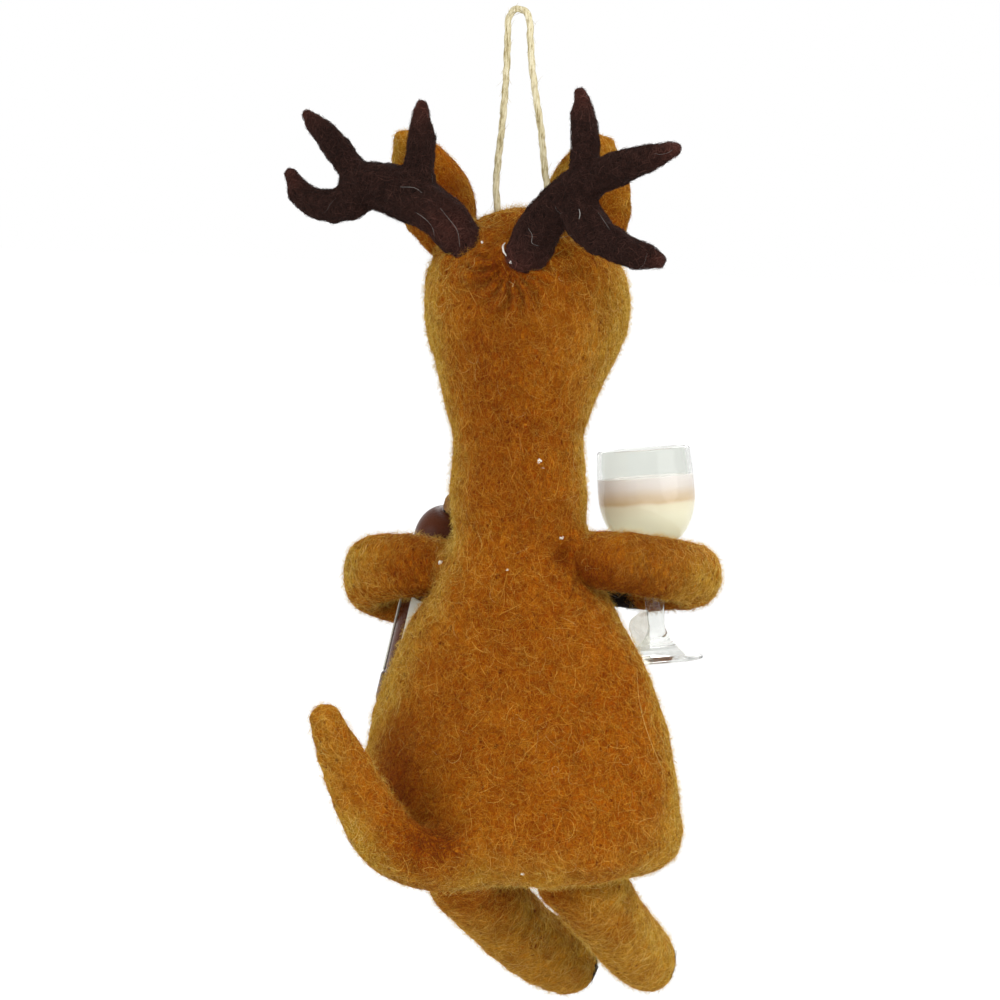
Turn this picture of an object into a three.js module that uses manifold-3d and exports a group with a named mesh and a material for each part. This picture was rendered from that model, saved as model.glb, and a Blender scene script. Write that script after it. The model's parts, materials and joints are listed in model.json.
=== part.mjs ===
// A felted wool reindeer that hangs on a twine loop, with a bottle in one arm and a wine glass in the other.
// Millimetres, +Z up. The origin is the top of the hanging loop. The reindeer looks along -Y, so its left is +X.
import * as THREE from "three";
import { mergeVertices } from "three/addons/utils/BufferGeometryUtils.js";
import Module from "manifold-3d";

const wasm = await Module();
wasm.setup();

// Fits
const feltGap = 0.3; // between two pieces of felt, and between felt and what it holds
const seatGap = 0.3; // between hard pieces that seat on each other
const wireGap = 0.5; // round the wires in the felt
const weld = 1e-4; // points closer than this are one point
const fullTurn = 2 * Math.PI;

// Hanging loop
const twineDiameter = 1.2;
const twineSides = 8;
const twineSteps = 54;
const crownDrop = 33; // from the top of the loop down to the crown of the head
const knotWidth = 5;
const knotHeight = 3.6;
const knotDepth = 3.6;
// The route runs from the knot inside the head, up one strand, over the hook and down the other strand.
const loopRoute = [
  [1.3, 0, -40.2],
  [2.7, 0, -37.2],
  [3.8, 0, -33.6],
  [4.2, 0, -29.5],
  [3.8, 0, -25],
  [3.1, 0, -19.5],
  [2.6, 0, -14.5],
  [2.2, 0, -9],
  [2.05, 0, -4.6],
  [1.8, 0, -1.4],
  [1.05, 0, -0.3],
  [0, 0, 0],
  [-1.05, 0, -0.3],
  [-1.8, 0, -1.4],
  [-2.05, 0, -4.6],
  [-2.3, 0, -9],
  [-3, 0, -14],
  [-4, 0, -20],
  [-4.7, 0, -26.5],
  [-5.3, 0, -31],
  [-5, 0, -34],
  [-3.2, 0, -37.4],
  [-1.3, 0, -40.2],
].map(([x, y, z]) => new THREE.Vector3(x, y, z));

// Head and neck
const headHeight = 43;
const headWidth = 34;
const headForward = 4.6; // how far the cheeks sit in front of the crown and neck
const headAside = 0.4; // of the head towards the reindeer's left
const neckDiameter = 22.2;
const neckLength = 8; // between the underside of the head and the top of the torso
const neckRoot = 12; // how far the neck reaches into the head and into the torso
const neckSides = 22;
const neckRoundShare = 0.3; // of the neck's radius, at its ends
// Each row: how far down, half width, depth against width, how far forward, as shares
const headRowShares = [
  [0, 0, 1, 0.1],
  [0.015, 0.22, 1, 0.12],
  [0.055, 0.43, 1, 0.2],
  [0.11, 0.67, 1, 0.35],
  [0.17, 0.84, 1, 0.55],
  [0.27, 0.965, 1.01, 0.85],
  [0.38, 1, 1.02, 1],
  [0.48, 0.965, 1.02, 0.95],
  [0.57, 0.89, 1.01, 0.75],
  [0.67, 0.79, 1, 0.45],
  [0.77, 0.7, 1, 0.2],
  [0.86, 0.62, 1, 0.1],
  [0.94, 0.43, 1, 0.05],
  [0.985, 0.2, 1, 0.05],
  [1, 0, 1, 0.05],
];
const headSides = 26;

// Muzzle, nose and eyes
const muzzleReach = 27.5; // from the middle of the neck to the tip of the muzzle
const muzzleRootShare = 0.25; // of the head's width, forward to the muzzle's root
const muzzleRootRadius = 8.6;
const muzzleTipRadius = 6.2;
const muzzleHeightShare = 0.92; // of its width
const muzzleDownShare = 0.4; // of the head's height
const muzzleSlope = 2; // how far the tip sits below the root
const noseWidth = 6.4;
const noseHeight = 4.4;
const noseLength = 4.4;
const noseRise = 2.6; // above the middle of the muzzle's tip
const eyeDiameter = 3.8;
const eyeDownShare = 0.26;
const eyeTurn = THREE.MathUtils.degToRad(28); // from straight ahead
const eyeSinkShare = 0.2; // of the bead's diameter, below the felt

// Ears
const earLength = 24;
const earThickness = 4;
const earCup = 2.4; // how far the rims curl forward
const earSides = 14;
const earSteps = 7;
// Each row: along the ear, half width, thickness, as shares
const earRowShares = [
  [0, 0.34, 0.9],
  [0.2, 0.62, 1],
  [0.45, 0.98, 0.95],
  [0.65, 0.98, 0.85],
  [0.84, 0.7, 0.75],
  [1, 0.26, 0.6],
];
// Each ear leans outward, and its cup turns. The shares are down the head, and of the ear's length in the head.
const leftEar = {
  side: 1,
  width: 12.9,
  lean: THREE.MathUtils.degToRad(28),
  turn: THREE.MathUtils.degToRad(14),
  downShare: 0.14,
  sinkShare: 0.2,
};
const rightEar = {
  side: -1,
  width: 15.8,
  lean: THREE.MathUtils.degToRad(15),
  turn: THREE.MathUtils.degToRad(3),
  downShare: 0.09,
  sinkShare: 0.35,
};

// Antlers: all places are shares of the reach, from the foot of the beam
const antlerReach = 30;
const antlerRadius = 3.2;
const antlerSides = 10;
const beamSteps = 6;
const tineSteps = 5;
const leftAntler = {
  side: "left",
  turn: THREE.MathUtils.degToRad(147), // of its foot round the head, from straight ahead
  downShare: 0.105, // of its foot, down from the crown
  beam: [
    [-0.03, -0.06, -0.09],
    [0.055, 0.02, 0.035],
    [0.16, 0.04, 0.15],
    [0.3, 0.05, 0.22],
    [0.47, 0.08, 0.28],
    [0.575, 0.1, 0.285],
  ],
  // Each size row: along the piece, radius against the antler's radius
  beamSizes: [
    [0, 0.95],
    [0.3, 1.06],
    [0.7, 1.24],
    [1, 1.1],
  ],
  tines: {
    lower: [
      [0.54, 0.1, 0.26],
      [0.67, 0.11, 0.17],
      [0.8, 0.11, 0.16],
      [0.93, 0.11, 0.2],
      [1.01, 0.11, 0.33],
    ],
    upper: [
      [0.58, 0.1, 0.3],
      [0.69, 0.09, 0.43],
      [0.79, 0.09, 0.54],
      [0.92, 0.08, 0.66],
    ],
    middle: [
      [0.26, 0.04, 0.23],
      [0.27, 0, 0.4],
      [0.275, -0.04, 0.72],
    ],
  },
  tineSizes: {
    lower: [
      [0, 0.98],
      [0.45, 0.77],
      [0.8, 0.5],
      [1, 0.18],
    ],
    upper: [
      [0, 0.6],
      [0.4, 0.6],
      [0.8, 0.46],
      [1, 0.2],
    ],
    middle: [
      [0, 0.82],
      [0.45, 0.68],
      [0.8, 0.46],
      [1, 0.2],
    ],
  },
};
const rightAntler = {
  side: "right",
  turn: THREE.MathUtils.degToRad(-158),
  downShare: 0.135,
  beam: [
    [0.0, -0.08, -0.13],
    [-0.055, 0, 0.01],
    [-0.205, 0.02, 0.195],
    [-0.345, 0.03, 0.32],
    [-0.45, 0.04, 0.4],
  ],
  beamSizes: [
    [0, 0.98],
    [0.3, 1.0],
    [0.7, 1.0],
    [1, 0.95],
  ],
  tines: {
    top: [
      [-0.4, 0.03, 0.4],
      [-0.405, 0, 0.56],
      [-0.38, -0.02, 0.7],
      [-0.35, -0.04, 0.86],
    ],
    side: [
      [-0.46, 0.05, 0.39],
      [-0.6, 0.07, 0.455],
      [-0.76, 0.08, 0.505],
      [-0.97, 0.09, 0.58],
    ],
    lower: [
      [-0.38, 0.05, 0.25],
      [-0.48, 0.09, 0.125],
      [-0.65, 0.11, 0.03],
      [-0.88, 0.11, -0.025],
    ],
  },
  tineSizes: {
    top: [
      [0, 0.74],
      [0.45, 0.6],
      [0.8, 0.44],
      [1, 0.2],
    ],
    side: [
      [0, 0.86],
      [0.45, 0.72],
      [0.8, 0.5],
      [1, 0.26],
    ],
    lower: [
      [0, 0.95],
      [0.45, 0.84],
      [0.8, 0.66],
      [1, 0.34],
    ],
  },
};

// Torso
const torsoHeight = 60;
const torsoWidth = 57;
const torsoSides = 28;
// Each row: how far down, half width, depth against width, how far forward, as shares
const torsoRowShares = [
  [0, 0, 1, 0],
  [0.01, 0.17, 1, 0],
  [0.035, 0.29, 1, 0],
  [0.075, 0.385, 0.97, 0],
  [0.14, 0.43, 0.92, 0],
  [0.21, 0.5, 0.82, 0],
  [0.29, 0.615, 0.69, 0],
  [0.38, 0.735, 0.59, 0],
  [0.48, 0.835, 0.57, 0],
  [0.6, 0.92, 0.59, 0],
  [0.74, 0.975, 0.63, 0],
  [0.88, 1, 0.69, 0],
  [0.94, 0.965, 0.7, 0],
  [0.98, 0.87, 0.7, 0],
  [1, 0.7, 0.7, 0],
  [1, 0, 0.7, 0],
];

// Arms
const wireDiameter = 1.2;
const wireSides = 8;
const wireSteps = 14;
const armSides = 14;
const armSteps = 18;
const leftShoulderDownShare = 0.165; // of the torso's height
const rightShoulderDownShare = 0.11;
const shoulderOutset = 0.3; // of each pivot beyond the torso's side
const shoulderRadius = 4.2;
const socketGap = 0.9; // round the root of each arm, so that it can turn
const leftArmRise = 5.3; // half the arm's height past the shoulder
const leftArmHalfWidth = 4;
const leftArmReach = 19.6; // from the pivot to the middle of the outer bend
const leftArmDroop = 11; // of the forearm below the shoulder
const leftArmReturn = 23; // from the outer bend back to the tip of the hoof
const rightArmRise = 4.6;
const rightArmHalfWidth = 4.5;
const rightArmReach = 13.5;
const rightArmHook = 25.2; // from the upper arm forward to the forearm
const rightArmDroop = 7.6;
const rightArmReturn = 19;
const frontHoofLength = 6.5;
// Each row: along the straight, along the bend, forward against the hook, down against the droop,
// back against the return
const armPathShares = [
  [0, 0, 0, 0, 0],
  [0.55, 0, -0.02, -0.04, 0],
  [1, 0.1, 0, 0, 0],
  [1, 0.72, 0.155, 0.16, 0],
  [1, 1, 0.5, 0.45, 0],
  [1, 0.71, 0.85, 0.75, 0],
  [1, 0.1, 1, 0.96, 0],
  [1, 1, 1, 1, 0.72],
  [1, 1, 1, 1, 1],
];
// Each row: along the arm, then how far the section has changed from the shoulder's to the arm's,
// height and width against the arm's
const armSectionShares = [
  [0, 0, 1, 1],
  [0.1, 0.5, 1, 1],
  [0.22, 1, 1, 1],
  [0.5, 1, 1, 0.88],
  [0.75, 1, 0.97, 1],
  [1, 1, 0.84, 0.9],
];

// Legs
const legSides = 16;
const legSteps = 8;
const hipRadius = 6.6;
const hipForward = 4.5;
const hipDrop = 3; // of each pivot below the torso
// Each leg's path row: inward, forward and down, against the leg's whole way
const leftLeg = {
  side: 1,
  aside: 11.7, // of the pivot from the middle of the torso
  radius: 6.05,
  inward: 7.4,
  forward: 24,
  drop: 18.5,
  path: [
    [0, 0, 0],
    [0.26, 0.3, 0.36],
    [0.62, 0.68, 0.74],
    [1, 1, 1],
  ],
};
const rightLeg = {
  side: -1,
  aside: 10.4,
  radius: 5.5,
  inward: -1.6,
  forward: 22,
  drop: 16.6,
  path: [
    [0, 0, 0],
    [1.2, 0.25, 0.36],
    [1.25, 0.62, 0.72],
    [1, 1, 1],
  ],
};
const backHoofSetForward = 0.8; // of the hoof's upright back, past the middle of the leg's rounded end
const legWireShort = 3; // of the leg's wire, before that middle
const hipWireRise = 12; // of the arch above the pivots
const hipWireBack = 5.4; // of the arch behind the pivots
const hipWireDip = 2; // of the arch's shoulders below its middle
const hipWireShoulderShare = 0.8; // of the way out to the pivots
// Each row: along the leg, radius against the hip's, radius against the leg's
const legSectionShares = [
  [0, 1, 0],
  [0.35, 0, 1],
  [0.8, 0, 1],
  [1, 0, 0.9],
];
const legSocketShare = 0.5; // of the leg, cut into the torso

// Tail
const tailLength = 30; // up, from root to tip
const tailWidth = 10.8;
const tailThickness = 7;
const tailSides = 16;
const tailRootDownShare = 0.945; // of the torso's height
// Each row: sideways, backward, up, as shares of the tail's length
const tailPathShares = [
  [0.02, -0.1, 0.0],
  [0.16, 0.02, 0.02],
  [0.34, 0.12, 0.08],
  [0.47, 0.18, 0.21],
  [0.6, 0.22, 0.46],
  [0.69, 0.25, 0.66],
  [0.76, 0.27, 0.83],
];
const tailFlatShares = [0.9, 0.2, -0.5]; // the way that the tail is wide: left, back, up
const tailSizeShares = [
  [0, 0.9, 0.9],
  [0.2, 1, 1],
  [0.5, 0.98, 0.9],
  [0.75, 0.78, 0.8],
  [1, 0.48, 0.62],
];

// Bottle
const bottleRadius = 6.6;
const bottleLength = 37; // without its cork
const bottleDome = 5.4;
const bottleSides = 28;
const bottleFootRound = 0.9;
const corkRadius = 2.9;
const corkHeight = 2.4; // above the bottle
const corkPlug = 3;
const corkPlugRadius = 2.3;
const corkTaperShare = 0.93; // of its radius, at the top
const domeSteps = 7;
const labelHeight = 17;
const labelThickness = 0.3;
const labelFoot = 5; // from the bottle's foot up to the label
const labelStart = THREE.MathUtils.degToRad(78);
const labelTurn = THREE.MathUtils.degToRad(285);
const bottleLeanSide = THREE.MathUtils.degToRad(17.8); // its foot points away from the torso
const bottleLeanFront = THREE.MathUtils.degToRad(8.2); // and forward
const bottleGripShare = 0.61; // of the bottle's length, from the foot up to the arm

// Wine glass
const glassHeight = 36;
const bowlRadius = 8.2;
const rimRadius = 7.8;
const bowlHeight = 17;
const glassWall = 0.8;
const stemRadius = 1.4;
const footRadius = 7.4;
const footThickness = 1;
const footFlareHeight = 6.5;
const glassSides = 28;
const glassSteps = 7;
const flareSteps = 4;
const footEdgeShare = 0.7; // of the foot's thickness, at its rim
const footFlareShare = 0.9; // of the foot's radius, where the flare starts
const footFlarePower = 2.2;
const bowlBellyShare = 0.55; // of the bowl's height, up to its widest place
const bowlStepPower = 1.4; // sets the rings closer near the bottom of the bowl
const bowlFloorShare = 2; // of the wall, under the wine
const wineDepthShare = 0.72; // of the bowl's height
const glassLeanSide = THREE.MathUtils.degToRad(6); // its rim leans to the neck
const glassLeanFront = THREE.MathUtils.degToRad(2.5); // and forward
const glassGripShare = 0.33; // of the glass's height, from the foot up to the forearm
const glassOutward = 4.1; // of the stem from the middle of the arm's bend, so that it leans on the bend's inside

// Colours
const wool = { color: 0xa9640f, roughness: 0.95, metalness: 0 };
const darkWool = { color: 0x33211f, roughness: 0.95, metalness: 0 };
const blackWool = { color: 0x17130f, roughness: 0.95, metalness: 0 };
const bead = { color: 0x0c0b0a, roughness: 0.2, metalness: 0 };
const steel = { color: 0x8d8f92, roughness: 0.4, metalness: 0.9 };
const jute = { color: 0xb99a5c, roughness: 0.9, metalness: 0 };
const brownGloss = { color: 0x4a2d22, roughness: 0.15, metalness: 0 };
const corkTan = { color: 0xa56f3a, roughness: 0.8, metalness: 0 };
const cream = { color: 0xe9e2cf, roughness: 0.7, metalness: 0 };
const clear = { color: 0xeef2f0, roughness: 0.05, metalness: 0, transparent: true, opacity: 0.35 };
const wineTone = { color: 0xe9cfae, roughness: 0.1, metalness: 0, transparent: true, opacity: 0.8 };

// A closed surface over rings of points that run anticlockwise about the way they advance
function skinOver(rings, firstPole, lastPole) {
  const sides = rings[0].length;
  const points = [firstPole, ...rings.flat(), lastPole];
  const index = (ring, side) => 1 + ring * sides + (side % sides);
  const last = rings.length - 1;
  const faces = [];
  for (let side = 0; side < sides; side++) {
    faces.push(0, index(0, side + 1), index(0, side));
    for (let ring = 0; ring < last; ring++) {
      const near = [index(ring, side), index(ring, side + 1)];
      const far = [index(ring + 1, side), index(ring + 1, side + 1)];
      faces.push(near[0], near[1], far[1], near[0], far[1], far[0]);
    }
    faces.push(points.length - 1, index(last, side), index(last, side + 1));
  }
  const geometry = new THREE.BufferGeometry().setFromPoints(points);
  geometry.setIndex(faces);
  return geometry;
}

// One elliptical ring of points. cup bends its two ends towards deep.
function ringAt(centre, across, deep, sides, cup = 0) {
  const bend = deep.clone().normalize();
  return Array.from({ length: sides }, (_, side) => {
    const angle = (side / sides) * fullTurn;
    return centre
      .clone()
      .addScaledVector(across, Math.cos(angle))
      .addScaledVector(deep, Math.sin(angle))
      .addScaledVector(bend, cup * Math.cos(angle) ** 2);
  });
}

// The solid of a closed geometry
function solidFrom(geometry) {
  const bare = geometry.clone();
  for (const name of Object.keys(bare.attributes)) if (name !== "position") bare.deleteAttribute(name);
  const merged = mergeVertices(bare, weld);
  const vertProperties = new Float32Array(merged.getAttribute("position").array);
  const triVerts = new Uint32Array(merged.index.array);
  return new wasm.Manifold(new wasm.Mesh({ numProp: 3, vertProperties, triVerts }));
}

function meshOf(name, solid, finish) {
  const { vertProperties, triVerts } = solid.getMesh();
  const geometry = new THREE.BufferGeometry();
  geometry.setAttribute("position", new THREE.BufferAttribute(vertProperties, 3));
  geometry.setIndex(new THREE.BufferAttribute(triVerts, 1));
  geometry.computeVertexNormals();
  const mesh = new THREE.Mesh(geometry, new THREE.MeshStandardMaterial(finish));
  mesh.name = name;
  return mesh;
}

// The largest body of a solid, without the slivers that a cut leaves
function largestOf(solid) {
  return solid.decompose().sort((a, b) => b.volume() - a.volume())[0];
}

function groupAt(place, ...members) {
  const group = new THREE.Group();
  group.position.copy(place);
  group.add(...members);
  return group;
}

// The row of a table at a share along it, between the two rows beside it
function rowAt(rows, share) {
  const next = rows.findIndex((row) => row[0] >= share);
  if (next <= 0) return rows[0];
  const [before, after] = [rows[next - 1], rows[next]];
  const mix = (share - before[0]) / (after[0] - before[0]);
  return before.map((value, i) => value + (after[i] - value) * mix);
}

// A form that hangs down from z = 0 and swells by a table of rows
function hangingForm({ rows, height, width, forward = 0, sides, grow = 0 }) {
  const outline = new THREE.CatmullRomCurve3(rows.map(([down, half]) => new THREE.Vector3(down, half, 0)));
  const section = new THREE.CatmullRomCurve3(
    rows.map(([, , depth, ahead]) => new THREE.Vector3(depth, ahead, 0)),
  );
  const stations = rows.length - 1;
  const rings = [];
  for (let i = stations - 1; i > 0; i--) {
    const { x: down, y: half } = outline.getPoint(i / stations);
    const { x: depth, y: ahead } = section.getPoint(i / stations);
    const centre = new THREE.Vector3(0, -ahead * forward, grow - down * (height + 2 * grow));
    const across = new THREE.Vector3((half * width) / 2 + grow, 0, 0);
    const deep = new THREE.Vector3(0, (half * depth * width) / 2 + grow, 0);
    rings.push(ringAt(centre, across, deep, sides));
  }
  const pole = (row, z) => new THREE.Vector3(0, -row[3] * forward, z);
  return skinOver(rings, pole(rows[stations], -height - grow), pole(rows[0], grow));
}

// The point on a hanging form's side, turned round from straight ahead (-Y) towards +X
function pointOnForm({ rows, height, width, forward = 0 }, down, turn) {
  const [, half, depth, ahead] = rowAt(rows, down);
  const x = ((half * width) / 2) * Math.sin(turn);
  const y = -((half * depth * width) / 2) * Math.cos(turn) - ahead * forward;
  return new THREE.Vector3(x, y, -down * height);
}

// A form swept along part of a curve, with round ends. Each row: share along the curve, half height, half width
function limbForm({ curve, rows, up, sides, steps, start = 0, end = 1, grow = 0, roundShare = 1, cup = 0 }) {
  const capRings = 3;
  const stationAt = (share) => {
    const centre = curve.getPointAt(share);
    const along = curve.getTangentAt(share);
    const across = up.clone().addScaledVector(along, -up.dot(along)).normalize();
    const deep = along.clone().cross(across);
    const [, high, wide] = rowAt(rows, share);
    return { centre, along, across, deep, high: high + grow, wide: wide + grow };
  };
  const ringOf = (station, shrink, ahead) => {
    const { centre, along, across, deep, high, wide } = station;
    const place = centre.clone().addScaledVector(along, ahead);
    const sideways = across.clone().multiplyScalar(high * shrink);
    return ringAt(place, sideways, deep.clone().multiplyScalar(wide * shrink), sides, cup * shrink);
  };
  const first = stationAt(start);
  const last = stationAt(end);
  const firstCap = Math.min(first.high, first.wide) * roundShare;
  const lastCap = Math.min(last.high, last.wide) * roundShare;
  const rings = [];
  for (let i = 1; i <= capRings; i++) {
    const angle = ((i / (capRings + 1)) * Math.PI) / 2;
    rings.push(ringOf(first, Math.sin(angle), -Math.cos(angle) * firstCap));
  }
  for (let i = 0; i <= steps; i++) rings.push(ringOf(stationAt(start + ((end - start) * i) / steps), 1, 0));
  for (let i = capRings; i > 0; i--) {
    const angle = ((i / (capRings + 1)) * Math.PI) / 2;
    rings.push(ringOf(last, Math.sin(angle), Math.cos(angle) * lastCap));
  }
  const firstPole = first.centre.clone().addScaledVector(first.along, -firstCap);
  const lastPole = last.centre.clone().addScaledVector(last.along, lastCap);
  return skinOver(rings, firstPole, lastPole);
}

// A round tube along a curve, with flat ends
function tubeAlong(curve, radius, steps, sides) {
  const section = new THREE.Shape();
  for (let side = 0; side < sides; side++) {
    const angle = (side / sides) * fullTurn;
    const point = [radius * Math.cos(angle), radius * Math.sin(angle)];
    if (side === 0) section.moveTo(...point);
    else section.lineTo(...point);
  }
  section.closePath();
  return new THREE.ExtrudeGeometry(section, { steps, extrudePath: curve, bevelEnabled: false });
}

function ellipsoid(width, depth, height, around, down) {
  return new THREE.SphereGeometry(1 / 2, around, down).scale(width, depth, height);
}

// A solid of revolution about +Z from [radius, height] pairs
function turned(profile, sides) {
  const points = profile.map(([radius, height]) => new THREE.Vector2(radius, height));
  return new THREE.LatheGeometry(points, sides).rotateX(Math.PI / 2);
}

// Part of a curve, between two shares of its length
function stretchOf(curve, start, end) {
  const places = Array.from({ length: wireSteps + 1 }, (_, i) =>
    curve.getPointAt(start + ((end - start) * i) / wireSteps),
  );
  return new THREE.CatmullRomCurve3(places);
}

// A smooth curve through shares of a reach
function curveOf(shares, reach) {
  return new THREE.CatmullRomCurve3(shares.map(([x, y, z]) => new THREE.Vector3(x, y, z).multiplyScalar(reach)));
}

const up = new THREE.Vector3(0, 0, 1);
const back = new THREE.Vector3(0, 1, 0);
const left = new THREE.Vector3(1, 0, 0);

// Frames of the main pieces
const headPlace = new THREE.Vector3(headAside, 0, -crownDrop);
const torsoPlace = new THREE.Vector3(0, 0, -crownDrop - headHeight - neckLength);
const headShape = {
  rows: headRowShares,
  height: headHeight,
  width: headWidth,
  forward: headForward,
  sides: headSides,
};
const torsoShape = { rows: torsoRowShares, height: torsoHeight, width: torsoWidth, sides: torsoSides };

// Hanging loop and its knot, in the ornament's frame
const knotPlace = new THREE.Vector3(0, 0, loopRoute[0].z - seatGap - knotHeight / 2);
const loopCurve = new THREE.CatmullRomCurve3(loopRoute);
const loopBoreCurve = new THREE.CatmullRomCurve3([knotPlace, ...loopRoute, knotPlace]);

function twineSolid(curve, grow = 0) {
  return solidFrom(tubeAlong(curve, twineDiameter / 2 + grow, twineSteps, twineSides));
}

function knotSolid(grow = 0) {
  const size = [knotWidth, knotDepth, knotHeight].map((side) => side + 2 * grow);
  return solidFrom(ellipsoid(...size, 12, 8).translate(...knotPlace));
}

// Head, with the two holes of the loop and the pocket of its knot
function headSolid() {
  const inHead = (solid) => solid.translate([-headAside, 0, crownDrop]);
  const bores = inHead(twineSolid(loopBoreCurve, feltGap).add(knotSolid(feltGap)));
  return largestOf(solidFrom(hangingForm(headShape)).subtract(bores));
}

const grownHead = solidFrom(hangingForm({ ...headShape, grow: feltGap }));

const muzzleRoot = new THREE.Vector3(0, -muzzleRootShare * headWidth, -muzzleDownShare * headHeight);
const muzzleTip = new THREE.Vector3(0, muzzleTipRadius - muzzleReach, muzzleRoot.z - muzzleSlope);

function muzzleForm(grow = 0) {
  const curve = new THREE.LineCurve3(muzzleRoot, muzzleTip);
  const rows = [
    [0, muzzleRootRadius * muzzleHeightShare, muzzleRootRadius],
    [1, muzzleTipRadius * muzzleHeightShare, muzzleTipRadius],
  ];
  return solidFrom(limbForm({ curve, rows, up, sides: 20, steps: 4, grow }));
}

function faceMeshes() {
  const muzzle = muzzleForm().subtract(grownHead);
  const nosePlace = new THREE.Vector3(0, -muzzleReach, muzzleTip.z + noseRise);
  const nose = solidFrom(ellipsoid(noseWidth, noseLength, noseHeight, 18, 12).translate(...nosePlace));
  const meshes = [
    meshOf("muzzle", muzzle, wool),
    meshOf("nose", nose.subtract(muzzleForm(feltGap)), blackWool),
  ];
  for (const [side, name] of [
    [1, "left_eye"],
    [-1, "right_eye"],
  ]) {
    const place = pointOnForm(headShape, eyeDownShare, side * eyeTurn);
    const outward = new THREE.Vector3(place.x, place.y + headForward, 0).normalize();
    place.addScaledVector(outward, eyeDiameter * (1 / 2 - eyeSinkShare));
    const eye = solidFrom(new THREE.SphereGeometry(eyeDiameter / 2, 16, 12).translate(...place));
    meshes.push(meshOf(name, eye.subtract(grownHead), bead));
  }
  return meshes;
}

// One ear, a cupped leaf that is cut to sit on the head
function earMesh(name, { side, width, lean, turn, downShare, sinkShare }) {
  const root = pointOnForm(headShape, downShare, (side * Math.PI) / 2);
  const curve = new THREE.LineCurve3(new THREE.Vector3(0, 0, 0), new THREE.Vector3(0, 0, earLength));
  const rows = earRowShares.map(([along, half, thick]) => [
    along,
    (half * width) / 2,
    (thick * earThickness) / 2,
  ]);
  const form = limbForm({ curve, rows, up: left, sides: earSides, steps: earSteps, cup: -earCup });
  form.translate(0, 0, -sinkShare * earLength);
  form.rotateZ(side * turn);
  form.rotateY(side * lean);
  form.translate(...root);
  return meshOf(name, solidFrom(form).subtract(grownHead), wool);
}

// One antler: a beam that is cut to sit on the head, and tines that are cut to sit on the beam
function antlerMeshes({ side, turn, downShare, beam, beamSizes, tines, tineSizes }) {
  const foot = pointOnForm(headShape, downShare, turn);
  const radii = (sizes) => sizes.map(([along, size]) => [along, size * antlerRadius, size * antlerRadius]);
  const branch = (shares, sizes, steps, grow) => {
    const curve = curveOf(shares, antlerReach);
    const form = limbForm({ curve, rows: radii(sizes), up: back, sides: antlerSides, steps, grow });
    return solidFrom(form.translate(...foot));
  };
  const grownBeam = branch(beam, beamSizes, beamSteps, feltGap);
  const beamSolid = branch(beam, beamSizes, beamSteps, 0).subtract(grownHead);
  const meshes = [meshOf(side + "_antler_beam", beamSolid, darkWool)];
  for (const [name, shares] of Object.entries(tines)) {
    const tine = largestOf(branch(shares, tineSizes[name], tineSteps, 0).subtract(grownBeam));
    meshes.push(meshOf(side + "_antler_" + name + "_tine", tine, darkWool));
  }
  return meshes;
}

// Arms: each curve starts at the shoulder's pivot, goes out, bends forward and comes back to the hoof
function armCurve(side, reach, hook, droop, comeBack) {
  const bend = hook / 2;
  const places = armPathShares.map(([along, round, ahead, down, home]) => {
    const x = along * (reach - bend) + round * bend - home * comeBack;
    return new THREE.Vector3(side * x, -ahead * hook, -down * droop);
  });
  return new THREE.CatmullRomCurve3(places);
}

// The bottle leans, so over the height of the bent arm it takes more room than its diameter
const bottleSpread = (leftArmDroop + 2 * leftArmRise) * Math.tan(bottleLeanFront);
const leftArmHook = 2 * (leftArmHalfWidth + feltGap + bottleRadius) + bottleSpread;
const arms = {
  left: {
    side: 1,
    curve: armCurve(1, leftArmReach, leftArmHook, leftArmDroop, leftArmReturn),
    pivot: pointOnForm(torsoShape, leftShoulderDownShare, Math.PI / 2).add(new THREE.Vector3(shoulderOutset, 0, 0)),
    rise: leftArmRise,
    halfWidth: leftArmHalfWidth,
  },
  right: {
    side: -1,
    curve: armCurve(-1, rightArmReach, rightArmHook, rightArmDroop, rightArmReturn),
    pivot: pointOnForm(torsoShape, rightShoulderDownShare, -Math.PI / 2).sub(
      new THREE.Vector3(shoulderOutset, 0, 0),
    ),
    rise: rightArmRise,
    halfWidth: rightArmHalfWidth,
  },
};

function armRows({ rise, halfWidth }) {
  return armSectionShares.map(([along, change, high, wide]) => [
    along,
    THREE.MathUtils.lerp(shoulderRadius, rise * high, change),
    THREE.MathUtils.lerp(shoulderRadius, halfWidth * wide, change),
  ]);
}

function armForm(arm, start, end, grow = 0, steps = armSteps) {
  return limbForm({ curve: arm.curve, rows: armRows(arm), up, sides: armSides, steps, start, end, grow });
}

// The wire inside a limb, from inside its round root to near its hoof
function wireIn(curve, wireEnd, rootReach, grow) {
  const root = curve.getPointAt(0).addScaledVector(curve.getTangentAt(0), -rootReach);
  const route = [root, ...stretchOf(curve, 0, wireEnd).points];
  return solidFrom(tubeAlong(new THREE.CatmullRomCurve3(route), wireDiameter / 2 + grow, wireSteps, wireSides));
}

function armMeshes(name, arm) {
  const curve = arm.curve;
  const form = (start, end, grow = 0, steps = armSteps) => armForm(arm, start, end, grow, steps);
  const hoofStart = 1 - frontHoofLength / curve.getLength();
  const wireEnd = hoofStart - (2 * feltGap) / curve.getLength();
  const bore = wireIn(curve, wireEnd, shoulderRadius + feltGap, wireGap);
  const limb = solidFrom(form(0, hoofStart)).subtract(bore);
  const hoof = solidFrom(form(hoofStart, 1, 0, 3)).subtract(solidFrom(form(0, hoofStart, feltGap)));
  const wire = wireIn(curve, wireEnd - feltGap / curve.getLength(), shoulderRadius - seatGap, 0);
  return [
    meshOf(name + "_arm", limb, wool),
    meshOf(name + "_front_hoof", hoof, blackWool),
    meshOf(name + "_arm_wire", wire, steel),
  ];
}


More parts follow.
